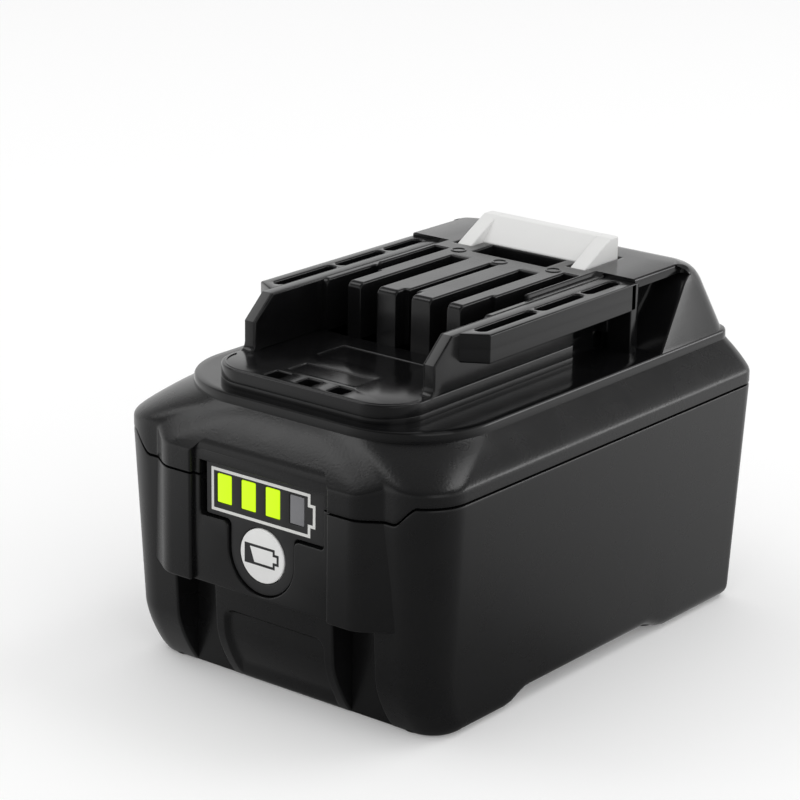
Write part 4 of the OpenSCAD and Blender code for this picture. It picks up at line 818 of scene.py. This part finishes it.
# %% [markdown]
# ## Release button
# At the rear a black button hangs on the hook's arm and fills the opening of the block. Pressing
# it down pulls the hook in. It is one outline seen from the side, pushed across, with three ribs
# for the thumb, a wider plate inside that keeps it from falling out, and a skirt that covers the
# foot of the opening.

# %% Release button
PRESS_LOW, PRESS_Y, PRESS_HALF = 48.0, 45.2, 11.5
RIB_R, RIB_HALF = 0.45, 9.5
KEEPER_Y, KEEPER_TOP, KEEPER_HALF = 38.05, 54.6, 12.9
button_side = rounded([(41.0, PRESS_LOW), (PRESS_Y, PRESS_LOW), (41.95, 56.0), (41.0, 57.0), (38.45, 57.0),
                       (38.45, KEEPER_TOP), (KEEPER_Y, KEEPER_TOP), (KEEPER_Y, 53.4), (41.0, 51.7)],
                      [0, 0.5, 0.6, 0.5, 0, 0, 0, 0, 0], 6)
release_patches = plate(button_side, -PRESS_HALF, PRESS_HALF, 0.45, 0.45, axis="x")
skirt = rounded(rect(41.05, 42.05, 43.6, 48.6), [0.2, 0.2, 0, 0], 4)
release_patches += plate(skirt, 0.1 - PRESS_HALF, PRESS_HALF - 0.1, 0.1, 0.1, axis="x")
keeper = np.array([(KEEPER_Y, 52.1), (39.8, 52.1), (38.55, KEEPER_TOP), (KEEPER_Y, KEEPER_TOP)])
release_patches += plate(keeper, -KEEPER_HALF, KEEPER_HALF, 0.1, 0.1, axis="x")
for h in (50.3, 52.5, 54.7):
    rib = circle(PRESS_Y - 0.406 * (h - PRESS_LOW), h, RIB_R)
    release_patches += plate(rib, -RIB_HALF, RIB_HALF, 0.3, 0.3, axis="x")
piece("release_button_shell", release_patches, release_black, "latch", ["release_button"])

# %% [markdown]
# ## Gauge panel
# The gauge is a dark T-shaped window in the apron. It sits a little below the recess floor, so a
# dark gap shows along its left and lower edges. The bars are clear blocks lit from behind, and the
# battery outline round them is a thin white print, laid a hair above the face.

# %% Gauge panel and light bars
PANEL, PANEL_BACK, BAR_BACK = -44.65, -43.0, -42.0
PANEL_R, PANEL_LEFT, PANEL_RIGHT = 6.45, -11.5, 12.4
PANEL_TOP, PANEL_FOOT = 38.3, 29.5
BAR_HALF, BAR_LOW, BAR_HIGH = 1.4, 31.8, 36.45
bowl = np.stack([PANEL_R * np.cos(half_turn), KEY_Z + 6.4 * np.sin(half_turn)], 1)
right = rounded([(PANEL_RIGHT, PANEL_TOP), (PANEL_RIGHT, PANEL_FOOT), (PANEL_R, PANEL_FOOT),
                 (PANEL_R, KEY_Z)], [0, 0.4, 0.9, 0], 6)
left = rounded([(-PANEL_R, KEY_Z), (-PANEL_R, PANEL_FOOT), (PANEL_LEFT, PANEL_FOOT), (PANEL_LEFT, PANEL_TOP)],
               [0, 0.9, 0.4, 0], 6)
panel_face = np.concatenate([right[:-1], bowl, left[1:]])[::-1]
bars = [rounded(rect(c - BAR_HALF, c + BAR_HALF, BAR_LOW, BAR_HIGH), 0.12, 3)
        for c in (-7.83, -2.90, 2.03, 6.96)]
panel_holes = [b + 0.08 * outward(b) for b in bars] + [circle(0.0, KEY_Z, 4.6)]
piece("gauge_panel_shell", plate(panel_face, PANEL, PANEL_BACK, 0.15, 0.05, holes=panel_holes, axis="y"),
      gauge_dark, "case", ["gauge_panel"])
bar_patches = [plate(b, PANEL + 0.03, BAR_BACK, 0.1, 0.05, axis="y") for b in bars]
piece("lit_bars_shell", sum(bar_patches[:3], []), light_on, "case", ["lit_light_bars"])
piece("unlit_bar_shell", bar_patches[3], light_off, "case", ["unlit_light_bar"])


def printed(loops, depth):
    """Flat print between loops in (x, z), laid at one depth and facing the front."""
    p, f = cap(loops, depth, True)
    return stand(p, "y"), f[:, ::-1]


def ribbon(path, width):
    """Loops on both sides of a closed path, half the width away."""
    n = outward(path)
    return [path + n * width / 2, (path - n * width / 2)[::-1]]


ink_white = moulded("ink_white", (0.72, 0.72, 0.70), 0.5, 0.25, 0.003, tone=0.04)
ink_dark = moulded("ink_dark", (0.022, 0.022, 0.024), 0.5, 0.25, 0.003)
PRINT_LIFT, LINE_W = 0.02, 0.5
sign = np.array([(-10.2, 30.55), (9.4, 30.55), (9.4, 32.2), (10.4, 32.2), (10.4, 35.5), (9.4, 35.5),
                 (9.4, 37.15), (-10.2, 37.15)])
piece("gauge_print", [printed(ribbon(sign, LINE_W), PANEL - PRINT_LIFT)], ink_white, "case")

# %% [markdown]
# ## Gauge button
# The white button under the bars is a disc with a soft edge. It moves in when pressed, so it and
# its print ride on a body of their own. The sign is a plain battery with a slanted remainder.

# %% Gauge button
DISC_R, FLANGE_R, STEM_R = 4.45, 5.25, 1.8
key_box = [np.array(c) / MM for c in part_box("gauge_button")]
key_face, key_back = key_box[0][1], key_box[1][1]
key_patches = plate(circle(0.0, KEY_Z, DISC_R, 64), key_face, -42.0, 0.25, 0.05, axis="y", steps=7)
key_patches += plate(circle(0.0, KEY_Z, FLANGE_R), -41.98, -41.5, 0.1, 0.1, axis="y")
key_patches += plate(circle(0.0, KEY_Z, STEM_R), -41.6, key_back, 0.05, 0.2, axis="y")
piece("gauge_button_shell", key_patches, button_white, "gauge_key", ["gauge_button"])
cell_sign = np.array([(-3.3, 23.55), (2.45, 23.55), (2.45, 24.3), (3.25, 24.3), (3.25, 25.7), (2.45, 25.7),
                      (2.45, 26.45), (-3.3, 26.45)])
rest = np.array([(-3.3, 23.55), (-1.45, 23.55), (-2.5, 26.45), (-3.3, 26.45)])
key_print = [printed(ribbon(cell_sign, 0.42), key_face - PRINT_LIFT), printed([rest], key_face - 0.015)]
piece("button_print", key_print, ink_dark, "gauge_key")

# %% [markdown]
# ## Floor, light and background
# The pack stands on a pale floor in a white studio. Black gloss shows little of its own colour: what
# one sees on it is the room, which is bright behind and beside the pack and dim where the camera
# stands. So the room has a level for each direction in reflections, and is plain white to the
# camera. In reflections the floor is a painted reflection: it glows with the room's levels, with
# painted shade close to the pack.

# %% Room and floor
def vector(nodes, links, operation, first):
    """Vector node with one operation on one input."""
    n = nodes.new("ShaderNodeVectorMath")
    n.operation = operation
    links.new(first, n.inputs[0])
    return n


def joined(nodes, links, operation, first, second):
    """Sum, product or larger one of two values."""
    n = nodes.new("ShaderNodeMath")
    n.operation = operation
    links.new(first, n.inputs[0])
    links.new(second, n.inputs[1])
    return n.outputs[0]


def room(nodes, links, way):
    """Level of the room towards a direction: full behind and beside the pack, dim towards the camera."""
    dot = vector(nodes, links, "DOT_PRODUCT", way)
    dot.inputs[1].default_value = (0.618, -0.786, 0.0)
    ramp = nodes.new("ShaderNodeValToRGB")
    stops = ramp.color_ramp.elements
    for at, tone in [(0.38, 0.92), (0.62, 0.70), (0.80, 0.38)]:
        stops.new(at).color = (tone, tone, tone, 1.0)
    stops[0].color, stops[-1].color = (1.0, 1.0, 1.0, 1.0), (0.22, 0.22, 0.22, 1.0)
    links.new(between(nodes, links, dot.outputs["Value"], 0.0, 1.0, -1.0, 1.0), ramp.inputs["Fac"])
    return ramp.outputs["Color"]


floor_mat = bpy.data.materials.new("floor_white")
floor_mat.use_nodes = True
nodes, links = floor_mat.node_tree.nodes, floor_mat.node_tree.links
base = nodes["Principled BSDF"]
base.inputs["Base Color"].default_value = (0.86, 0.86, 0.86, 1.0)
base.inputs["Roughness"].default_value = 0.9
base.inputs["Specular IOR Level"].default_value = 0.1
path = nodes.new("ShaderNodeLightPath")
glow = nodes.new("ShaderNodeEmission")
links.new(between(nodes, links, path.outputs["Is Camera Ray"], 0.0, 0.15, 0.0, 1.0), glow.inputs["Strength"])
lifted = nodes.new("ShaderNodeAddShader")
links.new(base.outputs[0], lifted.inputs[0])
links.new(glow.outputs[0], lifted.inputs[1])
# Painted reflection: to glossy rays the floor shows an emission at the room's levels instead of its own
# shading.
at = nodes.new("ShaderNodeTexCoord").outputs["Object"]
tone = room(nodes, links, vector(nodes, links, "NORMALIZE", at).outputs["Vector"])
far = vector(nodes, links, "LENGTH", at).outputs["Value"]
# Painted shade: the floor's glow in reflections is halved close to the pack and reaches full 0.2 m away.
near = between(nodes, links, far, 0.5, 1.0, 0.04, 0.2)
painted_floor_glow = nodes.new("ShaderNodeEmission")
links.new(joined(nodes, links, "MULTIPLY", tone, near), painted_floor_glow.inputs["Strength"])
pick = nodes.new("ShaderNodeMixShader")
links.new(path.outputs["Is Glossy Ray"], pick.inputs["Fac"])
links.new(lifted.outputs[0], pick.inputs[1])
links.new(painted_floor_glow.outputs[0], pick.inputs[2])
links.new(pick.outputs[0], nodes["Material Output"].inputs["Surface"])
floor_mesh = bpy.data.meshes.new("floor")
corners = np.column_stack([rect(-4, 4, -4, 4), np.full(4, -0.0002)])
floor_mesh.from_pydata(corners.tolist(), [], [(0, 1, 2, 3)])
floor_mesh.materials.append(floor_mat)
floor = bpy.data.objects.new("floor", floor_mesh)
scene.collection.objects.link(floor)
print("floor", floor.name)

# %% [markdown]
# ## World
# The world is what lies beyond the floor. To the camera and through clear things it is white; in
# reflections it has the room's levels, dimmer overhead, where a studio's ceiling is dark; as plain
# light it is an even grey. One shader with a Light Path node holds all three.

# %% World
world = bpy.data.worlds.new("studio")
scene.world = world
world.use_nodes = True
nodes, links = world.node_tree.nodes, world.node_tree.links
path = nodes.new("ShaderNodeLightPath")
way = nodes.new("ShaderNodeTexCoord").outputs["Generated"]
up = nodes.new("ShaderNodeSeparateXYZ")
links.new(way, up.inputs[0])
lofty = between(nodes, links, up.outputs["Z"], 1.0, 0.25, 0.33, 0.53)
seen = joined(nodes, links, "MULTIPLY", room(nodes, links, way), lofty)
sky = joined(nodes, links, "MULTIPLY", seen, path.outputs["Is Glossy Ray"])
plain = between(nodes, links, path.outputs["Is Glossy Ray"], 0.82, 0.0, 0.0, 1.0)
shown = joined(nodes, links, "MAXIMUM", path.outputs["Is Camera Ray"], path.outputs["Is Transmission Ray"])
strength = joined(nodes, links, "MAXIMUM", joined(nodes, links, "ADD", sky, plain), shown)
links.new(strength, nodes["Background"].inputs["Strength"])
nodes["Background"].inputs["Color"].default_value = (1.0, 1.0, 1.0, 1.0)
print("world", world.name)


# %% [markdown]
# ## Lamps
# Each lamp is a soft box: a rectangle that glows towards the pack. Large ones give the soft sheen
# along the slopes, and their power stays low, so that pale plastic keeps its shade. One hangs
# overhead for the tops, one stands left for the front, two light the right side.

# %% Lamps
def soft_box(name, at, width, height, power):
    """Rectangular lamp at a place in millimetres, turned to the middle of the pack."""
    data = bpy.data.lights.new(name, "AREA")
    data.shape = "RECTANGLE"
    data.size, data.size_y, data.energy = width, height, power
    lamp = bpy.data.objects.new(name, data)
    lamp.location = np.array(at) * MM
    lamp.rotation_euler = (Vector((0, 0, 0.03)) - lamp.location).to_track_quat("-Z", "Y").to_euler()
    scene.collection.objects.link(lamp)
    return lamp


soft_box("overhead", (300, 450, 830), 0.36, 0.36, 1.1)
soft_box("left", (-590, -210, 780), 0.42, 0.42, 0.9)
soft_box("right", (700, -300, 400), 0.6, 0.6, 0.6)
soft_box("right_back", (640, 820, 215), 0.5, 0.22, 0.95)
print("light set")
